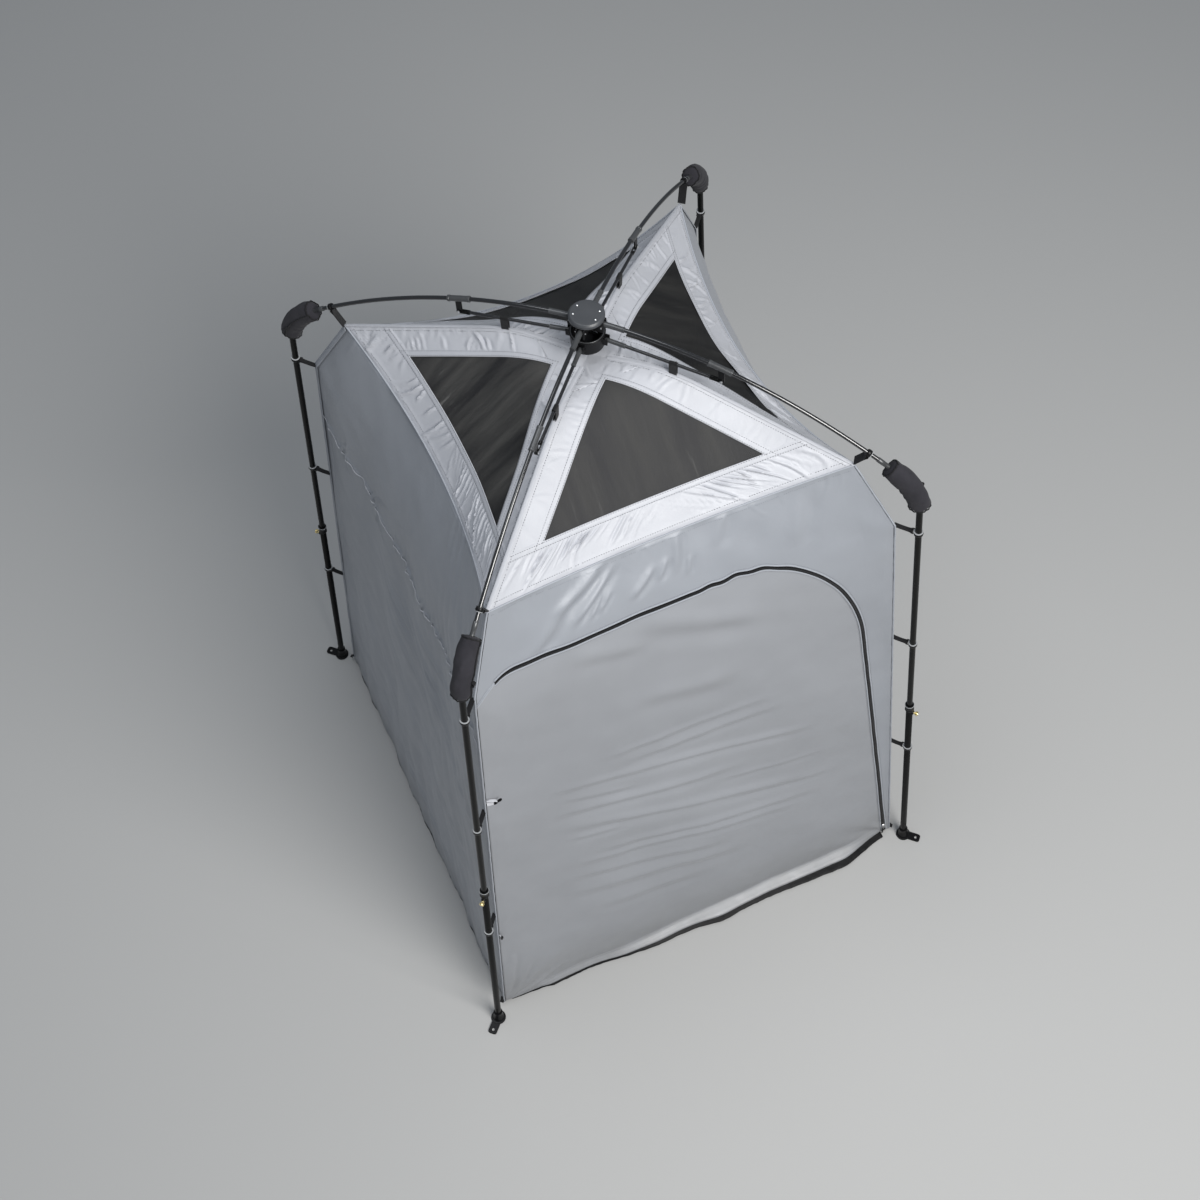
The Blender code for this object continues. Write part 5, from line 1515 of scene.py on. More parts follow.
# %% Upper hub and lower hub
HUB_TOP_Z = 2.119
DISC_LOW = HUB_TOP_Z - 0.012
HUB_DISC = [(0.0, HUB_TOP_Z - 0.0006), (0.0120, HUB_TOP_Z - 0.0004), (0.0300, HUB_TOP_Z),
            (0.0372, HUB_TOP_Z), (0.0392, HUB_TOP_Z - 0.0016), (0.0420, HUB_TOP_Z - 0.0052),
            (0.0420, DISC_LOW + 0.001), (0.0410, DISC_LOW), (0.0, DISC_LOW)]
HUB_STEM = [(0.0, DISC_LOW + 0.001), (0.0225, DISC_LOW + 0.001), (0.0215, 2.0800), (0.0170, 2.0720),
            (0.0, 2.0700)]
HUB_PIN = [(0.0, -0.0130), (0.0017, -0.0130), (0.0017, 0.0130), (0.0, 0.0130)]
HUB_CUP = [(0.0, 2.0250), (0.0300, 2.0250), (0.0335, 2.0275), (0.0340, 2.0560), (0.0346, 2.0600),
           (0.0412, 2.0600), (0.0420, 2.0590), (0.0420, 2.0550), (0.0405, 2.0540), (0.0400, 2.0230),
           (0.0385, 2.0190), (0.0, 2.0190)]
HUB_RUNNER = [(0.0, 2.0330), (0.0125, 2.0330), (0.0140, 2.0315), (0.0140, 2.0240), (0.0, 2.0240)]
RIVET_TURNS = (109.0, 161.0, -19.0, -71.0)
RIVET_OUT = 0.0300
RIVET_SIZE = (0.0064, 0.0064, 0.0034)
AXIS_FOOT = (0, 0, 0)


def cheek_pairs(radial, z, apart, size):
    # Two blocks under each pole or strut, one on either side of its diagonal.
    blocks = []
    for corner in CORNERS:
        axes = (*corner_ways(corner), UP)
        for sign in (-1.0, 1.0):
            blocks.append(block_shape(diagonal(corner, radial, z, sign * apart), size, axes))
    return blocks


def level_circle(radius, z, gap, count):
    # A level circle, open by twice the gap, which is an angle.
    turns = np.linspace(gap, 2.0 * math.pi - gap, count)
    return np.array([(radius * math.cos(turn), radius * math.sin(turn), z) for turn in turns])


disc = closed_turn(HUB_DISC, 0.0010, AXIS_FOOT, UP, 64)
solid_piece("hub_disc", [disc], hub_plastic, CABIN, ["upper_hub"])
# Under the disc a narrow stem and four pairs of cheeks carry the roots of the poles.
stem = closed_turn(HUB_STEM, 0.0012, AXIS_FOOT, UP, 48)
solid_piece("hub_boss", [stem], black_plastic, CABIN)
cheeks = cheek_pairs(0.0310, 2.0915, 0.0090, (0.0260, 0.0036, 0.0310))
solid_piece("hub_cheeks", cheeks, black_plastic, CABIN, (), 0.0014)
pins = [turned_shape(HUB_PIN, diagonal(corner, 0.0385, 2.0925), corner_ways(corner)[1], 14)
        for corner in CORNERS]
solid_piece("hub_pins", pins, bare_metal, CABIN)

# A grey metallic ring on the cup's rim is a painted highlight, where the rim catches the light.
tube_piece("hub_cup_rim_highlight", [level_circle(0.0384, 2.0598, 0.0, 120)], [0.0013], grey_ferrule, CABIN,
           (), 10)
cup = closed_turn(HUB_CUP, 0.0010, AXIS_FOOT, UP, 64)
solid_piece("hub_cup", [cup], black_plastic, CABIN, ["lower_hub"])
lugs = cheek_pairs(0.0440, 2.0440, 0.0076, (0.014, 0.0032, 0.020))
solid_piece("hub_cup_lugs", lugs, black_plastic, CABIN, (), 0.0012)
# A bright bare-metal ring in the bottom of the cup, round the runner, is a painted highlight where the cup's
# inside catches the light.
tube_piece("hub_cup_ring_highlight", [level_circle(0.0290, 2.0268, 0.25, 90)], [0.0011], bare_metal, CABIN,
           (), 10)
runner = closed_turn(HUB_RUNNER, 0.0006, AXIS_FOOT, UP, 32)
solid_piece("hub_runner", [runner], black_plastic, CABIN)

rivet_rows = []
for turn in RIVET_TURNS:
    angle = math.radians(turn)
    spot = np.array([RIVET_OUT * math.cos(angle), RIVET_OUT * math.sin(angle), HUB_TOP_Z + 0.0002])
    rivet_rows.append((np.array([spot, spot + (0.001, 0.0, 0.0)]), np.tile(UP, (2, 1))))
repeat_piece("hub_rivets", STITCH_TREE, rivet_rows, 0.0100, RIVET_SIZE, bare_metal, CABIN)
print("hub top at", HUB_TOP_Z)

# %% [markdown]
# Each leg is two tubes. The thin upper one ends inside the thicker lower one, which has a plastic
# collar with a pale lip and a sprung brass knob, and stands in a foot cup on a round plate with a
# peg tab. What slides rides on the leg's own body; the upper tube stays with the frame.

# %% Telescopic legs and feet
# Turned profiles: the radius, and the distance along the leg or up from the ground.
COLLAR = [(0.0087, 0.0), (0.0112, 0.0), (0.0128, 0.0015), (0.0128, 0.0060), (0.0119, 0.0072),
          (0.0119, 0.0198), (0.0128, 0.0212), (0.0128, 0.0258), (0.0115, 0.0275), (0.0087, 0.0275)]
COLLAR_LIP = [(0.0100, 0.0), (0.0131, 0.0), (0.0131, 0.0016), (0.0100, 0.0016)]
KNOB = [(0.0, 0.0085), (0.0040, 0.0085), (0.0040, 0.0168), (0.0046, 0.0176), (0.0065, 0.0184),
        (0.0065, 0.0192), (0.0059, 0.0200), (0.0065, 0.0208), (0.0065, 0.0218), (0.0059, 0.0226),
        (0.0064, 0.0234), (0.0060, 0.0246), (0.0040, 0.0250), (0.0, 0.0250)]
KNOB_BOSS = [(0.0, 0.0080), (0.0072, 0.0080), (0.0066, 0.0118), (0.0052, 0.0128), (0.0, 0.0128)]
FOOT_PLATE = [(0.0, 0.0), (0.0210, 0.0), (0.0220, 0.0010), (0.0220, 0.0045), (0.0206, 0.0060),
              (0.0165, 0.0064), (0.0158, 0.0090), (0.0, 0.0090)]
FOOT_CUP = [(0.0, 0.0060), (0.0160, 0.0060), (0.0155, 0.0200), (0.0138, 0.0250), (0.0127, 0.0400),
            (0.0131, 0.0415), (0.0131, 0.0440), (0.0118, 0.0452), (0.0094, 0.0452), (0.0, 0.0400)]
LOWER_TUBE_Z = (0.020, 0.812)
KNOB_Z = 0.790
COLLAR_Z = 0.8025
LIP_Z = 0.8275
TAB_OUT = 0.041
TAB_HALF = 0.0130
TAB_INNER = 0.028
PEG_HOLE = 0.0045
TAB_POINTS = 48


def lower_tube_profile(long):
    # The tube is open at its top, so it has a bore that the upper tube runs in.
    return [(0.0, 0.0), (0.0095, 0.0), (0.0095, long - 0.0006), (0.0092, long), (0.0087, long),
            (0.0086, long - 0.110), (0.0, long - 0.111)]


def peg_tab_shape(corner):
    # A plate with a real hole, from two rings of points: square towards the leg, rounded outside.
    hole_at = leg_radial(0.0) + TAB_OUT
    outer, inner = [], []
    for k in range(TAB_POINTS):
        turn = 2.0 * math.pi * k / TAB_POINTS
        c, s = math.cos(turn), math.sin(turn)
        square = TAB_HALF / max(abs(c), abs(s))
        round_end = TAB_HALF / (abs(c) ** 4 + abs(s) ** 4) ** 0.25
        far = square if c < 0.0 else round_end
        stretch = 1.9 if c < 0.0 else 1.0
        outer.append((hole_at + max(far * c * stretch, -TAB_INNER), max(-TAB_HALF, min(TAB_HALF, far * s))))
        inner.append((hole_at + PEG_HOLE * c, PEG_HOLE * s))
    points = [diagonal(corner, r, z, a) for z in (0.0006, 0.0054) for ring in (outer, inner) for r, a in ring]
    low_out, low_in, high_out, high_in = (ring * TAB_POINTS for ring in range(4))
    faces = []
    for k in range(TAB_POINTS):
        n = (k + 1) % TAB_POINTS
        for a, b in ((low_out, low_in), (high_in, high_out)):
            faces.append((a + k, a + n, b + n, b + k))
        for a, b in ((low_out, high_out), (high_in, low_in)):
            faces.append((a + n, a + k, b + k, b + n))
    return points, faces


for corner in CORNERS:
    body = "leg_" + corner
    way = unit(leg_spot(corner, 1.0) - leg_spot(corner, 0.0))
    out_way = corner_ways(corner)[0]

    # The upper tube runs a little way up into the padded cover.
    upper_line = np.array([leg_spot(corner, z) for z in np.linspace(0.7003, LEG_TOP_Z + 0.0200, 40)])
    tube_piece("upper_leg_tube_" + corner, [upper_line], [0.0080], coated_steel, CABIN,
               ["upper_leg_" + corner], 28)
    foot, top = (leg_spot(corner, z) for z in LOWER_TUBE_Z)
    long = float(np.linalg.norm(top - foot))
    tube = turned_shape(lower_tube_profile(long), foot, way, 28)
    solid_piece("lower_leg_tube_" + corner, [tube], coated_steel, body, ["lower_leg_" + corner])

    collar = turned_shape(rounded(COLLAR, 0.0006), leg_spot(corner, COLLAR_Z), way, 32)
    solid_piece("leg_collar_" + corner, [collar], black_plastic, body)
    lip = turned_shape(rounded(COLLAR_LIP, 0.0005), leg_spot(corner, LIP_Z), way, 32)
    solid_piece("collar_lip_" + corner, [lip], pale_lip, body)
    knob_place = leg_spot(corner, KNOB_Z)
    solid_piece("pull_knob_" + corner, [turned_shape(KNOB, knob_place, out_way, 24)], brass, body)
    boss = turned_shape(rounded(KNOB_BOSS, 0.0005), knob_place, out_way, 24)
    solid_piece("knob_boss_" + corner, [boss], black_plastic, body)

    foot_centre = leg_spot(corner, 0.0)
    plate = turned_shape(FOOT_PLATE, foot_centre, UP, 40)
    solid_piece("foot_plate_" + corner, [plate], black_plastic, body)
    foot_cup = turned_shape(FOOT_CUP, foot_centre, way, 32)
    solid_piece("foot_cup_" + corner, [foot_cup], black_plastic, body)
    solid_piece("peg_tab_" + corner, [peg_tab_shape(corner)], black_plastic, body, (), 0.0007)
print("legs: lower tube", round(long, 3), "m long")

# %% [markdown]
# Tapes and straps are flat, so they are swept by hand: an outline that is given in the strap's
# width and thickness is carried along a path, and turned at each point so that its thickness
# follows a given normal. The same helper makes the corner tapes, straps, bindings and the zip.

# %% Sweeping a flat section along a path
# The section of a strap, as shares of its width and its thickness. Its upper face is crowned.
CROWNED = 0.75
STRAP_SECTION = np.array([(-0.5, -0.2), (-0.35, -0.5), (0.35, -0.5), (0.5, -0.2), (0.5, 0.2),
                          (0.35, CROWNED), (0.0, CROWNED), (-0.35, CROWNED), (-0.5, 0.2)])
# An (across, up) pair on a wall is turned into metres by this.
WALL_METRES = np.array([BASE_HALF, ROOF_EDGE_Z])
LINE_STEP = 0.004


def resampled(points, step):
    points = np.asarray(points, float)
    gaps = np.linalg.norm(np.diff(points, axis=0), axis=1)
    run = np.concatenate([[0.0], np.cumsum(gaps)])
    count = max(int(run[-1] / step) + 1, 2)
    want = np.linspace(0.0, run[-1], count)
    return np.stack([np.interp(want, run, points[:, k]) for k in range(points.shape[1])], axis=-1)


def ribbon_shape(points, normals, width, thick):
    along = unit_rows(np.gradient(points, axis=0))
    side = unit_rows(np.cross(along, normals))
    up = np.cross(side, along)
    wide = STRAP_SECTION[None, :, 0] * width
    tall = STRAP_SECTION[None, :, 1] * thick
    rings = points[:, None, :] + wide[..., None] * side[:, None, :] + tall[..., None] * up[:, None, :]
    corners = len(STRAP_SECTION)
    faces = grid_faces(len(points), corners, 0, True)
    faces.append(tuple(range(corners)))
    faces.append(tuple(range((len(points) - 1) * corners, len(points) * corners)))
    run = np.concatenate([[0.0], np.cumsum(np.linalg.norm(np.diff(points, axis=0), axis=1))])
    flat = np.stack(np.broadcast_arrays(run[:, None], wide), axis=-1)
    return rings.reshape(-1, 3), faces, flat.reshape(-1, 2)


def tape_piece(name, shapes, material, body, stands_for=()):
    mesh = joined_mesh(name, shapes)
    set_cloth_uv(mesh, np.concatenate([flat for _, _, flat in shapes]))
    smooth(mesh, 50.0)
    return own(new_object(name, mesh, material), body, stands_for)


def on_wall(side, line, lift):
    # A line on a wall, from (across, up) pairs, at a height above the cloth, with its normals.
    line = resampled(np.asarray(line, float) * WALL_METRES, LINE_STEP) / WALL_METRES
    across, up = line[:, 0], line[:, 1]
    normals = normals_of(wall_place, across, up, 0.002)
    return wall_surface(side, across, up, lift), quarter_turns(normals, side)


def on_roof(side, line, lift):
    x, d = resampled(line, LINE_STEP).T
    normals = -normals_of(roof_place, x, np.maximum(d, 0.004), 0.001)
    return roof_surface(side, x, d, lift), quarter_turns(normals, side)


print("sweeping helpers ready")

# %% [markdown]
# The zip is a black tape 11 mm wide with a fine coil in its middle. Half of it is sewn to the
# fixed wall and half to the door, so the two halves are separate pieces on their own bodies. A
# grey binding runs along each half, paler than the wall: partly its own tone, partly a painted
# highlight along the zip's edges. Its line is pushed out or in by shifting points square to it.

# %% The zip's two halves
def shifted_line(line, shift):
    # Move a line on the wall sideways by some metres, to the right of its direction of travel.
    metres = np.asarray(line, float) * WALL_METRES
    along = unit_rows(np.gradient(metres, axis=0))
    right = np.stack([along[:, 1], -along[:, 0]], axis=-1)
    return (metres + right * shift) / WALL_METRES


ZIP_STARTS_AT = -0.905
TOOTH = (0.0011, 0.0024, 0.0009)
ZIP_STITCH = (0.0030, 0.0008, 0.0007)
zip_from = int(np.argmax(zip_line[:, 0] > ZIP_STARTS_AT))
zip_path = resampled(zip_line[zip_from:] * WALL_METRES, 0.006) / WALL_METRES


def beside_zip(sign, shift, lift):
    return on_wall("front", shifted_line(zip_path, sign * shift), lift)


halves = {"fixed": (-1.0, CABIN), "door": (1.0, "door")}
for half, (sign, body) in halves.items():
    tape = ribbon_shape(*beside_zip(sign, 0.0030, 0.0008), 0.0052, 0.0009)
    spine = ribbon_shape(*beside_zip(sign, 0.0012, 0.0016), 0.0018, 0.0012)
    tape_piece("zip_tape_" + half, [tape, spine], zip_tape, body)
    teeth = beside_zip(sign, 0.0008, 0.0023)
    repeat_piece("zip_teeth_" + half, TEETH_TREE, [teeth], 0.0022, TOOTH, zip_coil, body)
    binding = ribbon_shape(*beside_zip(sign, 0.0074, 0.0008), 0.0036, 0.0016)
    tape_piece("zip_binding_" + half, [binding], zip_piping_and_highlight, body)
    row = beside_zip(sign, 0.0122, 0.0006)
    repeat_piece("zip_stitches_" + half, STITCH_TREE, [row], 0.0042, ZIP_STITCH, stitch_thread, body)

# From the corner to the zip's start the two edges are only bound.
for half, (sign, body) in halves.items():
    start = on_wall("front", shifted_line(zip_line[:zip_from + 1], sign * 0.0026), 0.0006)
    binding = ribbon_shape(*start, 0.0032, 0.0014)
    tape_piece("door_top_binding_" + half, [binding], zip_piping_and_highlight, body)
print("zip:", len(zip_path), "points from the corner to the hem")

# %% [markdown]
# At the zip's lower right end hangs its slider: a small metal body that straddles the coil, a
# bridge over it, and a pull tab on a loop. It belongs to the fixed half, because it stays on the
# frame's side when the door is opened from the bottom.

# %% Zip slider and its pull
end_spot, end_normal = on_wall("front", shifted_line(zip_path, 0.0)[-8:-5], 0.0)
slider_at, slider_up = end_spot[1], end_normal[1]
slider_way = unit(end_spot[2] - end_spot[0])
slider_side = np.cross(slider_way, slider_up)
axes = (slider_way, slider_side, slider_up)
bridge_at = slider_at + slider_up * 0.0060 - slider_way * 0.0010
slider_parts = [block_shape(slider_at + slider_up * 0.0038, (0.0105, 0.0088, 0.0024), axes),
                block_shape(bridge_at, (0.0070, 0.0022, 0.0022), axes)]
solid_piece("zip_slider", slider_parts, bare_metal, CABIN, (), 0.0007, segments=3)
pull_way = unit(slider_way * 0.9 + slider_side * 0.25 + slider_up * 0.05)
pull_side = np.cross(pull_way, slider_up)
turns = np.linspace(0.0, 2.0 * math.pi, 25)[:, None]
loop = slider_at + slider_up * 0.0066 + pull_way * (0.006 + 0.006 * np.cos(turns))
loop = loop + pull_side * 0.0030 * np.sin(turns)
tube_piece("zip_pull_loop", [loop], [0.0008], bare_metal, CABIN, (), 10)
pull = block_shape(slider_at + slider_up * 0.0062 + pull_way * 0.0250, (0.026, 0.0062, 0.0018),
                   (pull_way, pull_side, slider_up))
solid_piece("zip_pull_tab", [pull], black_plastic, CABIN, (), 0.0008, segments=3)
print("slider at", slider_at.round(3))

# %% [markdown]
# Each upright corner of the cabin is a bound seam, and a grey tape is sewn beside it on the side
# wall. Black straps leave the seam: three level ones that end in rings on the leg, one at the top
# that clips to the roof pole, and a loop at the bottom that points to the foot. Real webbing folds
# back on itself at each ring, so each strap is two thin layers that part before the ring.

# %% Corner bindings, tapes and straps
def corner_line(corner, heights, out=0.0):
    sx, sy = CORNERS[corner]
    half = corner_half(heights) + out
    return np.stack([sx * half, sy * half, heights], axis=-1)


def seam_spot(corner, z):
    # The middle of the corner tape, on the outside of the side wall.
    sx, sy = CORNERS[corner]
    half = float(corner_half(np.array(z)))
    return np.array([sx * (half + 0.0014), sy * (half - 0.0055), z])


def folded_strap(start, stop, normal, width, sag, thick=0.0013):
    # Two layers that touch along the way and part before the ring.
    share = np.linspace(0.0, 1.0, 26)
    line = start + (stop - start) * share[:, None] - UP * (sag * 4.0 * share * (1.0 - share))[:, None]
    along = unit(stop - start)
    up = unit(normal - along * np.dot(normal, along))
    part = (0.0007 + 0.0030 * np.clip((share - 0.72) / 0.28, 0.0, 1.0) ** 1.5)[:, None]
    ups = np.tile(up, (len(share), 1))
    return [ribbon_shape(line + sign * up * part, ups, width, thick) for sign in (1.0, -1.0)]


# The rings on a leg: their height, and the radius of the tube there.
RINGS = [(1.643, 0.0080), (1.147, 0.0080), (0.586, 0.0095)]
# The clip on the roof pole: how far out it sits, and how high its strap is sewn to the seam.
CLIP_OUT = 0.672
CLIP_STRAP_Z = 1.845
FOOT_LOOP_Z = 0.036
SEAM_TAPE = (0.0110, 0.0010)
TAPE_STITCH = (0.0036, 0.0008, 0.0006)


def pole_clip(corner):
    return diagonal(corner, CLIP_OUT, pole_z(CLIP_OUT))


for corner in CORNERS:
    sx, sy = CORNERS[corner]
    heights = np.concatenate([np.linspace(0.012, SHOULDER_Z, 200),
                              np.linspace(SHOULDER_Z + 0.004, ROOF_EDGE_Z, 40)])
    wobble = 0.00035 * dents(heights, heights * 0.0, 0.05, 7 + sx + 2 * sy)
    binding_path = corner_line(corner, heights, -0.0002)
    binding_path[:, 0] += sx * wobble
    binding_path[:, 1] += sy * 0.0006
    tube_piece("corner_binding_" + corner, [binding_path], [0.0024], binding_cloth, CABIN,
               (), 12)

    if corner == "front_left":
        # A fine dark tube beside the seam on which the door turns is painted shadow, where the seam's binding
        # shades the cloth.
        seam_shadow = corner_line(corner, heights) + (-sx * 0.0036, sy * 0.0002, 0.0)
        tube_piece("corner_seam_shadow_" + corner, [seam_shadow], [0.0008], webbing, CABIN, (), 8)

    tape_heights = np.concatenate([np.linspace(0.030, SHOULDER_Z, 120),
                                   np.linspace(SHOULDER_Z + 0.006, 1.830, 24)])
    half = corner_half(tape_heights)
    middle = np.stack([sx * (half + 0.0010), sy * (half - 0.0085), tape_heights], axis=-1)
    outwards = np.tile((sx, 0.0, 0.0), (len(middle), 1))
    seam_tape = ribbon_shape(middle, outwards, *SEAM_TAPE)
    tape_piece("corner_seam_tape_" + corner, [seam_tape], binding_cloth, CABIN)

    parts = []
    for number, (z, tube) in enumerate(RINGS):
        centre = leg_spot(corner, z)
        seam = seam_spot(corner, z)
        reach = unit(centre - seam)
        stop = centre - reach * (tube + 0.0052)
        parts += folded_strap(seam - reach * 0.0010, stop, UP, 0.0118, 0.0012 + 0.0006 * number)
    clip = pole_clip(corner)
    seam = seam_spot(corner, CLIP_STRAP_Z)
    reach = unit(clip - seam)
    parts += folded_strap(seam, clip - reach * 0.0060, diagonal(corner, 0.8, 0.6), 0.0220, 0.001)
    # The foot loop is a short doubled strap that points from the hem to the foot.
    hem = seam_spot(corner, FOOT_LOOP_Z)
    tip = hem + diagonal(corner, 0.0110, -0.016)
    parts += folded_strap(hem, tip, diagonal(corner, 0.3, 1.0), 0.0118, 0.0)
    tape_piece("corner_tape_" + corner, parts, webbing, CABIN, ["corner_webbing_" + corner])

    sew = [(middle[:-4] + (sx * 0.0009, shift, 0.0), outwards[:-4]) for shift in (-0.0040, 0.0040)]
    repeat_piece("corner_tape_stitches_" + corner, STITCH_TREE, sew, 0.0060, TAPE_STITCH, stitch_thread,
                 CABIN)
print("corner tapes with", len(RINGS), "leg rings each")

# %% [markdown]
# The rings are moulded: a black band with a paler upper lip that slides on the tube. All sixteen
# ring bands, and all the lips, are turned from two profiles. The strap passes through a small
# buckle eye on the ring's inner side. A strap on each hip carries the roof on the strut above it.

# %% Rings on the legs and poles, and straps over the struts
def ring_parts(centre, way, tube, eye_way):
    way = unit(way)
    inner, outer = tube + 0.0004, tube + 0.0038
    band = rounded([(inner, -0.0052), (outer - 0.0004, -0.0052), (outer + 0.0002, 0.0),
                    (outer - 0.0004, 0.0044), (inner, 0.0044)], 0.0008)
    lip = rounded([(inner, 0.0044), (outer - 0.0002, 0.0044), (outer - 0.0004, 0.0058), (inner, 0.0058)],
                  0.0004)
    eye_way = unit(eye_way)
    side = unit(np.cross(way, eye_way))
    up = np.cross(side, eye_way)
    axes = (eye_way, side, up)
    arms = [centre + eye_way * (tube + 0.0062) + side * sign * 0.0068 for sign in (-1.0, 1.0)]
    eye = [block_shape(arm, (0.0066, 0.0022, 0.0046), axes) for arm in arms]
    eye.append(block_shape(centre + eye_way * (tube + 0.0086), (0.0022, 0.0150, 0.0026), axes))
    return turned_shape(band, centre, way, 28), turned_shape(lip, centre, way, 28), eye


# The hip strap: how far out it lies, and half its width over the strut and at the hip.
STRAP_AT = 0.205
STRAP_LOOP = 0.0050
STRAP_FOOT = 0.0030
for corner in CORNERS:
    leg_way = leg_spot(corner, 1.0) - leg_spot(corner, 0.0)
    places = [(leg_spot(corner, z), leg_way, tube, seam_spot(corner, z)) for z, tube in RINGS]
    pole_way = diagonal(corner, 1.0, -2.0 * POLE_ARCH * CLIP_OUT)
    places.append((pole_clip(corner), pole_way, 0.0050, seam_spot(corner, CLIP_STRAP_Z)))
    rings = [ring_parts(centre, way, tube, seam - centre) for centre, way, tube, seam in places]
    bands, lips, eyes = zip(*rings)
    solid_piece("ring_bands_" + corner, bands, black_plastic, CABIN)
    solid_piece("ring_lips_" + corner, lips, pale_lip, CABIN)
    solid_piece("ring_eyes_" + corner, sum(eyes, []), black_plastic, CABIN, (), 0.0007)

    # A flat strap is sewn to each hip, runs up over the strut and comes down on its other side.
    turns = np.linspace(math.pi, 0.0, 15)
    low = float(hip_height(np.array(STRAP_AT))) - 0.0004
    high = strut_z(STRAP_AT)
    arch = [(STRAP_LOOP * math.cos(a), high + STRAP_LOOP * math.sin(a)) for a in turns]
    rise = [(-STRAP_FOOT + (STRAP_FOOT - STRAP_LOOP) * t, low + (high - low) * t)
            for t in np.linspace(0.0, 0.95, 8)]
    fall = [(-across, z) for across, z in reversed(rise)]
    section = rise + arch + fall
    line = np.array([diagonal(corner, STRAP_AT, z, across) for across, z in section])
    outwards = unit_rows(np.cross(np.gradient(line, axis=0), corner_ways(corner)[0]))
    strap = ribbon_shape(line, outwards, 0.0190, 0.0012)
    tape_piece("hip_strap_" + corner, [strap], webbing, CABIN, ["strut_strap_" + corner])
print("rings: 16 bands, 16 lips")

# %% [markdown]
# Behind the hem a strip of black film reaches down to the grass and keeps insects and draughts
# out. It is thin and limp, so it waves in and out a little more towards its free lower edge. One
# strip follows the left, back and right walls; the door carries its own.

# %% Mud flaps
FLAP_LOW = 0.0035
FLAP_TOP = 0.058
FLAP_SEED = 300
SIDE_SPREAD = 0.0022


def flap_strip(side, low_share, high_share, spread):
    # Rows follow the wall a few millimetres behind it, then turn out a little over the ground.
    shares = np.linspace(low_share, high_share, 260)
    levels = np.concatenate([np.linspace(FLAP_TOP, HEM_UP * ROOF_EDGE_Z, 14),
                             np.linspace(0.0105, FLAP_LOW, 8)])
    share, up = np.meshgrid(shares, levels / ROOF_EDGE_Z)
    points = quarter_turns(wall_surface(side, share, up, -0.0034), "front")
    under = ease(-up * ROOF_EDGE_Z, -0.0110, -FLAP_LOW)
    seed = FLAP_SEED + SIDES[side]
    x = share * BASE_HALF
    waves = 0.0014 * dents(x, up, 0.12, seed) + 0.0006 * dents(x, up, 0.04, seed + 5)
    out = quarter_turns(np.array([0.0, -1.0, 0.0]), side)
    reach = (spread(share) + waves) * under * ease(1.0 - np.abs(share), 0.0, 0.03)
    flat = np.stack([x, up * ROOF_EDGE_Z], axis=-1)
    return (points + reach[..., None] * out)[::-1], flat[::-1]


def side_spread(share):
    return np.full_like(share, SIDE_SPREAD)


def door_spread(share):
    # The door's flap shows more and more towards the zip's end, and not at all beside the foot.
    return (0.0030 * ease(share, -0.97, -0.75) + 0.0060 * ease(share, -0.6, 0.0)
            + 0.0110 * ease(share, 0.1, 0.95))


strips = [flap_strip(side, -0.995, 0.995, side_spread) for side in ("right", "back", "left")]
flap = cloth_piece("mud_flap_film_sides", strips, flap_film, thick=0.0005)
own(flap, CABIN, ["mud_flap"])
door_strip = flap_strip("front", -0.960, 0.955, door_spread)
door_flap = cloth_piece("mud_flap_film_door", [door_strip], flap_film, thick=0.0005)
own(door_flap, "door", ["door_mud_flap"])
print("mud flaps", round((FLAP_TOP - FLAP_LOW) * 1000), "mm deep")

# %% [markdown]
# Where the roof meets the walls, a folded seam stands up as a thin piping. It is one path per side
# along the sagging edge, swept by the tube tree. The hips between the roof's sides are bound too.

# %% Piping along the roof's edge and hips
edge_share = np.linspace(-1.0, 1.0, 220)
for side in SIDES:
    seam = wall_place(edge_share, np.ones_like(edge_share)) + (0.0, -0.0010, 0.0010)
    seam = quarter_turns(seam, side)
    tube_piece("eave_piping_" + side, [seam], [0.0021], binding_cloth, CABIN, (), 12)
hip_run = np.linspace(0.045, ROOF_HALF * ROOT_TWO - 0.002, 200)
for corner in CORNERS:
    seam = np.array([diagonal(corner, r, float(hip_height(np.array(r))) + 0.0006) for r in hip_run])
    shape = ribbon_shape(seam, np.tile(UP, (len(seam), 1)), 0.0090, 0.0011)
    tape_piece("hip_binding_" + corner, [shape], roof_cloth, CABIN)
print("piping on four edges, binding on four hips")

# %% [markdown]
# Double rows of stitches frame every window, and single ones run along the hips and the roof's edge.
# Hems and the seam across the side walls have two rows. Each row is a path on the cloth with its
# normals, and the repeat tree sets the stitches. Each body gets its own pieces.

# %% Stitch rows on the roof and the walls
ROOF_STITCH = (0.0040, 0.0014, 0.0008)
SEAM_STITCH = (0.0046, 0.0012, 0.0008)
WALL_STITCH = (0.0036, 0.0008, 0.0006)
STITCH_LIFT = 0.0003
HEM_ROWS = (0.0105, 0.0150)
SEAM_FOLD_UP = SIDE_SEAM_UP - 0.0011
HIP_INNER = (0.030, 0.045)
HIP_OUTER = (ROOF_HALF - 0.020, ROOF_HALF - 0.005)
EAVE_ROW = (ROOF_HALF - 0.025, ROOF_HALF - 0.0125)


def level_row(side, up, lift, left=-0.985, right=0.985):
    return on_wall(side, [(left, up), (right, up)], lift)


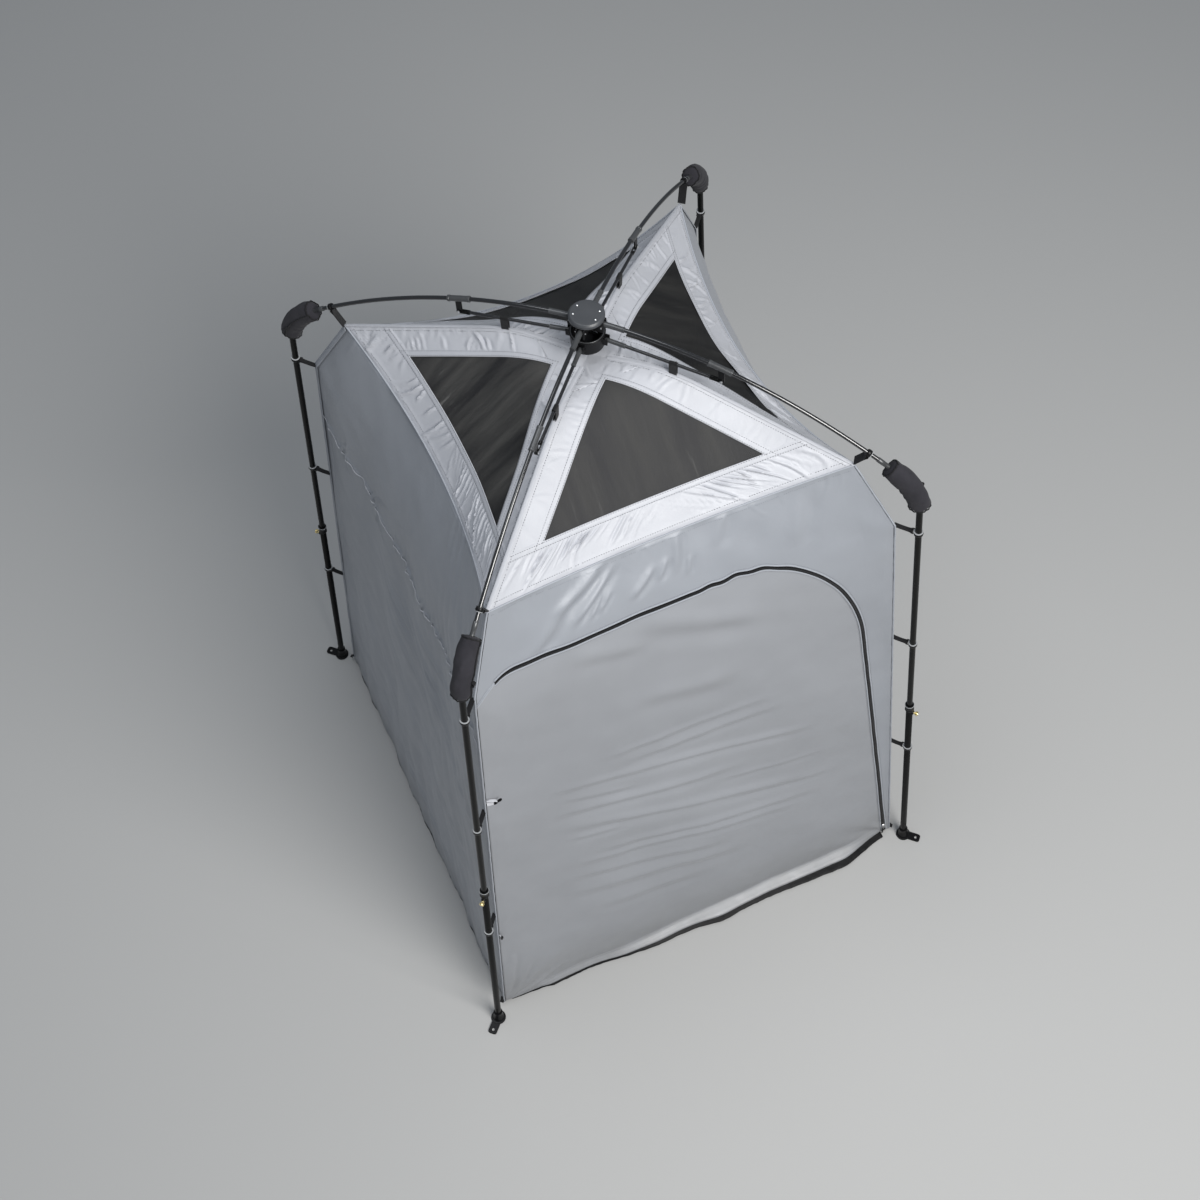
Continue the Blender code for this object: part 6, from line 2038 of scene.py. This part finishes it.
for side in SIDES:
    rows = []
    for away in (0.0025, 0.0125):
        tip = WINDOW_MARGIN - away * ROOT_TWO
        far = WINDOW_END + away
        for sign in (-1.0, 1.0):
            rows.append(on_roof(side, [(0.0, max(tip, 0.06)), (sign * (far - tip), far)], STITCH_LIFT))
        rows.append(on_roof(side, [(-(far - 0.012), far), (far - 0.012, far)], STITCH_LIFT))
    for sign in (-1.0, 1.0):
        hip = [(sign * HIP_INNER[0], HIP_INNER[1]), (sign * HIP_OUTER[0], HIP_OUTER[1])]
        rows.append(on_roof(side, hip, STITCH_LIFT))
    rows.append(on_roof(side, [(-EAVE_ROW[0], EAVE_ROW[1]), EAVE_ROW], STITCH_LIFT))
    repeat_piece("roof_stitches_" + side, STITCH_TREE, rows, 0.0062, ROOF_STITCH, roof_thread, CABIN)

for side in SIDES:
    rows = [level_row(side, 0.9935, STITCH_LIFT, -0.97, 0.97)]
    if side != "front":
        rows += [level_row(side, up, STITCH_LIFT) for up in HEM_ROWS]
        seam = [level_row(side, up, 0.0004) for up in (SIDE_SEAM_UP + 0.0008, SIDE_SEAM_UP - 0.0030)]
        repeat_piece("seam_stitches_" + side, STITCH_TREE, seam, 0.0056, SEAM_STITCH, stitch_thread, CABIN)
        # The seam's fold is drawn as a pale strip: partly the folded cloth, partly a painted highlight along
        # the seam.
        fold = ribbon_shape(*level_row(side, SEAM_FOLD_UP, 0.0010), 0.0036, 0.0012)
        tape_piece("seam_fold_highlight_" + side, [fold], pale_cord_and_seam_highlight, CABIN)
    repeat_piece("wall_stitches_" + side, STITCH_TREE, rows, 0.0052, WALL_STITCH, stitch_thread, CABIN)
hem_rows = [level_row("front", up, STITCH_LIFT, right=0.955) for up in HEM_ROWS]
repeat_piece("door_hem_stitches", STITCH_TREE, hem_rows, 0.0052, WALL_STITCH, stitch_thread, "door")
print("stitch rows done")

# %% [markdown]
# Two small ties hold the rolled-up door. Each is a loop of grey tape sewn into the left seam with
# a black toggle on it. The upper one stands out like a small triangle; the lower one lies flat.

# %% Ties for the rolled-up door
def tie_loop(name, z, reach, drop, wide, toggle_long, toggle_way):
    half = float(corner_half(np.array(z)))
    at = np.array([-half + 0.004, -half - 0.0010, z])
    share = np.linspace(0.0, 1.0, 60)
    out = reach * np.sin(math.pi * share)
    rise = 0.010 * np.cos(math.pi * share) - drop * np.sin(math.pi * share) ** 2
    lift = 0.0045 * np.sin(math.pi * share) + 0.0015
    line = at + np.stack([out, -lift, rise], axis=-1)
    normals = np.stack([np.cos(math.pi * share), np.zeros(60), np.sin(math.pi * share) + 0.2], axis=-1)
    normals = unit_rows(normals)
    tape_piece(name + "_tape", [ribbon_shape(line, normals, wide, 0.0012)], pale_cord_and_seam_highlight, CABIN)
    toggle_at = at + np.array([reach + 0.001, -0.0075, -drop])
    half = toggle_long / 2
    profile = [(0.0, -half), (0.0030, -half + 0.0006), (0.0038, -half / 2), (0.0030, -0.0012),
               (0.0030, 0.0012), (0.0038, half / 2), (0.0030, half - 0.0006), (0.0, half)]
    toggle = turned_shape(profile, toggle_at, toggle_way, 18)
    solid_piece(name + "_toggle", [toggle], black_plastic, CABIN)


tie_loop("door_tie_upper", 1.190, 0.026, 0.004, 0.0080, 0.026, (0.75, -0.1, 0.6))
tie_loop("door_tie_lower", 0.455, 0.004, 0.003, 0.0050, 0.020, (0.1, -0.1, 0.95))
print("two door ties")

# %% [markdown]
# The folding elbows are wrapped in padded sleeves. Foam under a stretched cover swells between
# its ends and wrinkles on the inside of the bend. The sleeve could be a smooth swept tube, but
# real padding isn't even. So a slightly thin sleeve is remeshed, inflated by the cloth solver
# for a few frames, capped so that it can't leave its place, and then given its seams and folds.

# %% Padded elbow covers
COVER_STEPS = 46
COVER_AROUND = 40
# The sleeve ends at this share of the bend's length.
COVER_LOW = 0.90
COVER_SEED = 71


def cover_path(share):
    # Places along the bend from the pole's end to the leg's top, in the plane of a diagonal.
    start = np.array([POLE_END + 0.0003, pole_z(POLE_END)])
    slope = -2.0 * POLE_ARCH * POLE_END
    end = np.array([LEG_TOP_HALF * ROOT_TWO, LEG_TOP_Z])
    lean = leg_radial(0.0) - leg_radial(1.0)
    reach = (end[0] - start[0] + lean * (end[1] - start[1])) / (1.0 + lean * slope)
    bend = start + np.array([reach, reach * slope])
    t = np.asarray(share, float)[..., None]
    spot = start * (1 - t) ** 2 + bend * 2 * t * (1 - t) + end * t * t
    way = (bend - start) * (1 - t) + (end - bend) * t
    return spot, way / np.linalg.norm(way, axis=-1, keepdims=True)


def cover_point(corner, share, turn, radius):
    # A point of the sleeve in metres: its place along the bend, round it, and out from its axis.
    spot, way = cover_path(share)
    out = np.stack([-way[..., 1], way[..., 0]], axis=-1)
    plane = spot + out * (radius * np.cos(turn))[..., None]
    across = 0.88 * radius * np.sin(turn)
    return np.moveaxis(diagonal(corner, plane[..., 0], plane[..., 1], across), 0, -1)


def cover_radius(share, turn, seed, trim):
    end = np.minimum(share, COVER_LOW - share)
    full = 0.0292 - 0.0022 * (1.0 - ease(end, 0.0, 0.16)) - 0.0075 * (1.0 - ease(end, 0.0, 0.040)) ** 2
    inside = ease(-np.cos(turn), -0.2, 0.9) * ease(end, 0.12, 0.35)
    folds = 0.0016 * inside * np.sin(share * 46.0 + 0.8 * np.sin(turn * 2.0 + seed))
    along = share * 0.15
    around = turn * 0.03
    lumps = 0.0011 * dents(along, around, 0.045, seed) + 0.0006 * dents(along, around, 0.018, seed + 1)
    gather = 0.0009 * np.sin(turn * 13.0 + seed) * (1.0 - ease(end, 0.03, 0.16))
    return full - trim + folds + lumps + gather


def cover_mesh(name, corner, seed, trim):
    turns = np.linspace(0.0, 2.0 * math.pi, COVER_AROUND, endpoint=False)
    share, turn = np.meshgrid(np.linspace(0.0, COVER_LOW, COVER_STEPS), turns, indexing="ij")
    points = cover_point(corner, share, turn, cover_radius(share, turn, seed, trim)).reshape(-1, 3)
    faces = grid_faces(COVER_STEPS, COVER_AROUND, 0, True)
    first_cap, last_cap = len(points), len(points) + 1
    spots, _ = cover_path(np.array([0.0, COVER_LOW]))
    caps = [diagonal(corner, *spot) for spot in spots]
    tail = (COVER_STEPS - 1) * COVER_AROUND
    for k in range(COVER_AROUND):
        n = (k + 1) % COVER_AROUND
        faces.append((n, k, first_cap))
        faces.append((tail + k, tail + n, last_cap))
    return closed_mesh(name, np.concatenate([points, caps]).tolist(), faces)


def vertex_places(mesh):
    flat = np.zeros(len(mesh.vertices) * 3, np.float32)
    mesh.vertices.foreach_get("co", flat)
    return flat.reshape(-1, 3).astype(float)


def evaluated_mesh(piece):
    deps = bpy.context.evaluated_depsgraph_get()
    return bpy.data.meshes.new_from_object(piece.evaluated_get(deps), depsgraph=deps)


def inflated(piece, voxel, pressure, cap, frames=20):
    # Remesh, let the cloth solver swell the piece, and hold every point within the cap.
    remesh = piece.modifiers.new("even_mesh", "REMESH")
    remesh.mode = "VOXEL"
    remesh.voxel_size = voxel
    even = evaluated_mesh(piece)
    piece.modifiers.clear()
    piece.data = even
    before = vertex_places(even)
    cloth = piece.modifiers.new("cloth", "CLOTH")
    cloth.settings.use_pressure = True
    cloth.settings.uniform_pressure_force = pressure
    cloth.settings.effector_weights.gravity = 0.0
    cloth.settings.quality = 5
    cloth.settings.mass = 0.2
    cloth.point_cache.frame_start = 1
    cloth.point_cache.frame_end = frames
    for number in range(1, frames + 1):
        bpy.context.scene.frame_set(number)
    swollen = evaluated_mesh(piece)
    after = vertex_places(swollen)
    move = after - before
    length = np.linalg.norm(move, axis=1, keepdims=True)
    after = before + move * np.minimum(1.0, cap / np.maximum(length, 1e-9))
    piece.modifiers.clear()
    piece.data = swollen
    swollen.vertices.foreach_set("co", after.astype(np.float32).ravel())
    bpy.context.scene.frame_set(1)
    return float(length.max())


cover_seeds = {corner: COVER_SEED + 5 * number for number, corner in enumerate(CORNERS)}
for corner, seed in cover_seeds.items():
    name = "elbow_cover_padding_" + corner
    cover = new_object(name, cover_mesh(name, corner, seed, 0.0016), None)
    swell = inflated(cover, 0.0045, 4.0, 0.0024)
    print(name, "swelled by", round(swell * 1000, 1), "mm")
    cover.data.materials.clear()
    cover.data.materials.append(cover_cloth)
    smooth(cover.data, 80.0)
    soft = cover.modifiers.new("soft", "SUBSURF")
    soft.levels = 1
    soft.render_levels = 1
    own(cover, CABIN, ["elbow_cover_" + corner])

# %% [markdown]
# Each sleeve is closed by a lengthwise seam with a flat edge, and cuffed at both ends by a narrow
# hem. The seam's edge stands off the padding like a thin fin, and a small tab stands out from it.

# %% Cuffs, seams and tabs of the covers
CUFF_AT = 0.022
# The seam and its tab run along the sleeve at this angle round it.
SEAM_TURN = 1.35
TAB_AT = 0.60


def on_cover(corner, shares, turns, seed, trim, lift=0.0):
    return cover_point(corner, shares, turns, cover_radius(shares, turns, seed, trim) + lift)


for corner, seed in cover_seeds.items():
    parts = []
    for share in (CUFF_AT, COVER_LOW - CUFF_AT):
        turns = np.linspace(0.0, 2.0 * math.pi, 49)
        cuff = on_cover(corner, np.full_like(turns, share), turns, seed, 0.0012)
        centre, _ = cover_path(np.array(share))
        parts.append(ribbon_shape(cuff, unit_rows(cuff - diagonal(corner, *centre)), 0.0036, 0.0018))
    shares = np.linspace(0.03, COVER_LOW - 0.03, 60)
    seam = on_cover(corner, shares, np.full_like(shares, SEAM_TURN), seed, 0.0006)
    centre_line = np.array([diagonal(corner, *spot) for spot in cover_path(shares)[0]])
    sideways = unit_rows(np.cross(unit_rows(seam - centre_line), np.gradient(seam, axis=0)))
    parts.append(ribbon_shape(seam, sideways, 0.0050, 0.0014))
    # The tab is a short loop of tape that stands out from the seam.
    bend = np.linspace(-1.0, 1.0, 15)
    height = 0.0010 + 0.0075 * (1.0 - bend ** 4)
    tab = on_cover(corner, TAB_AT + 0.030 * bend, np.full_like(bend, SEAM_TURN), seed, 0.0, height)
    sideways = unit_rows(np.cross(np.gradient(tab, axis=0), corner_ways(corner)[0]))
    parts.append(ribbon_shape(tab, sideways, 0.0090, 0.0016))
    tape_piece("elbow_cover_trim_" + corner, parts, cover_tape, CABIN)
print("covers trimmed")
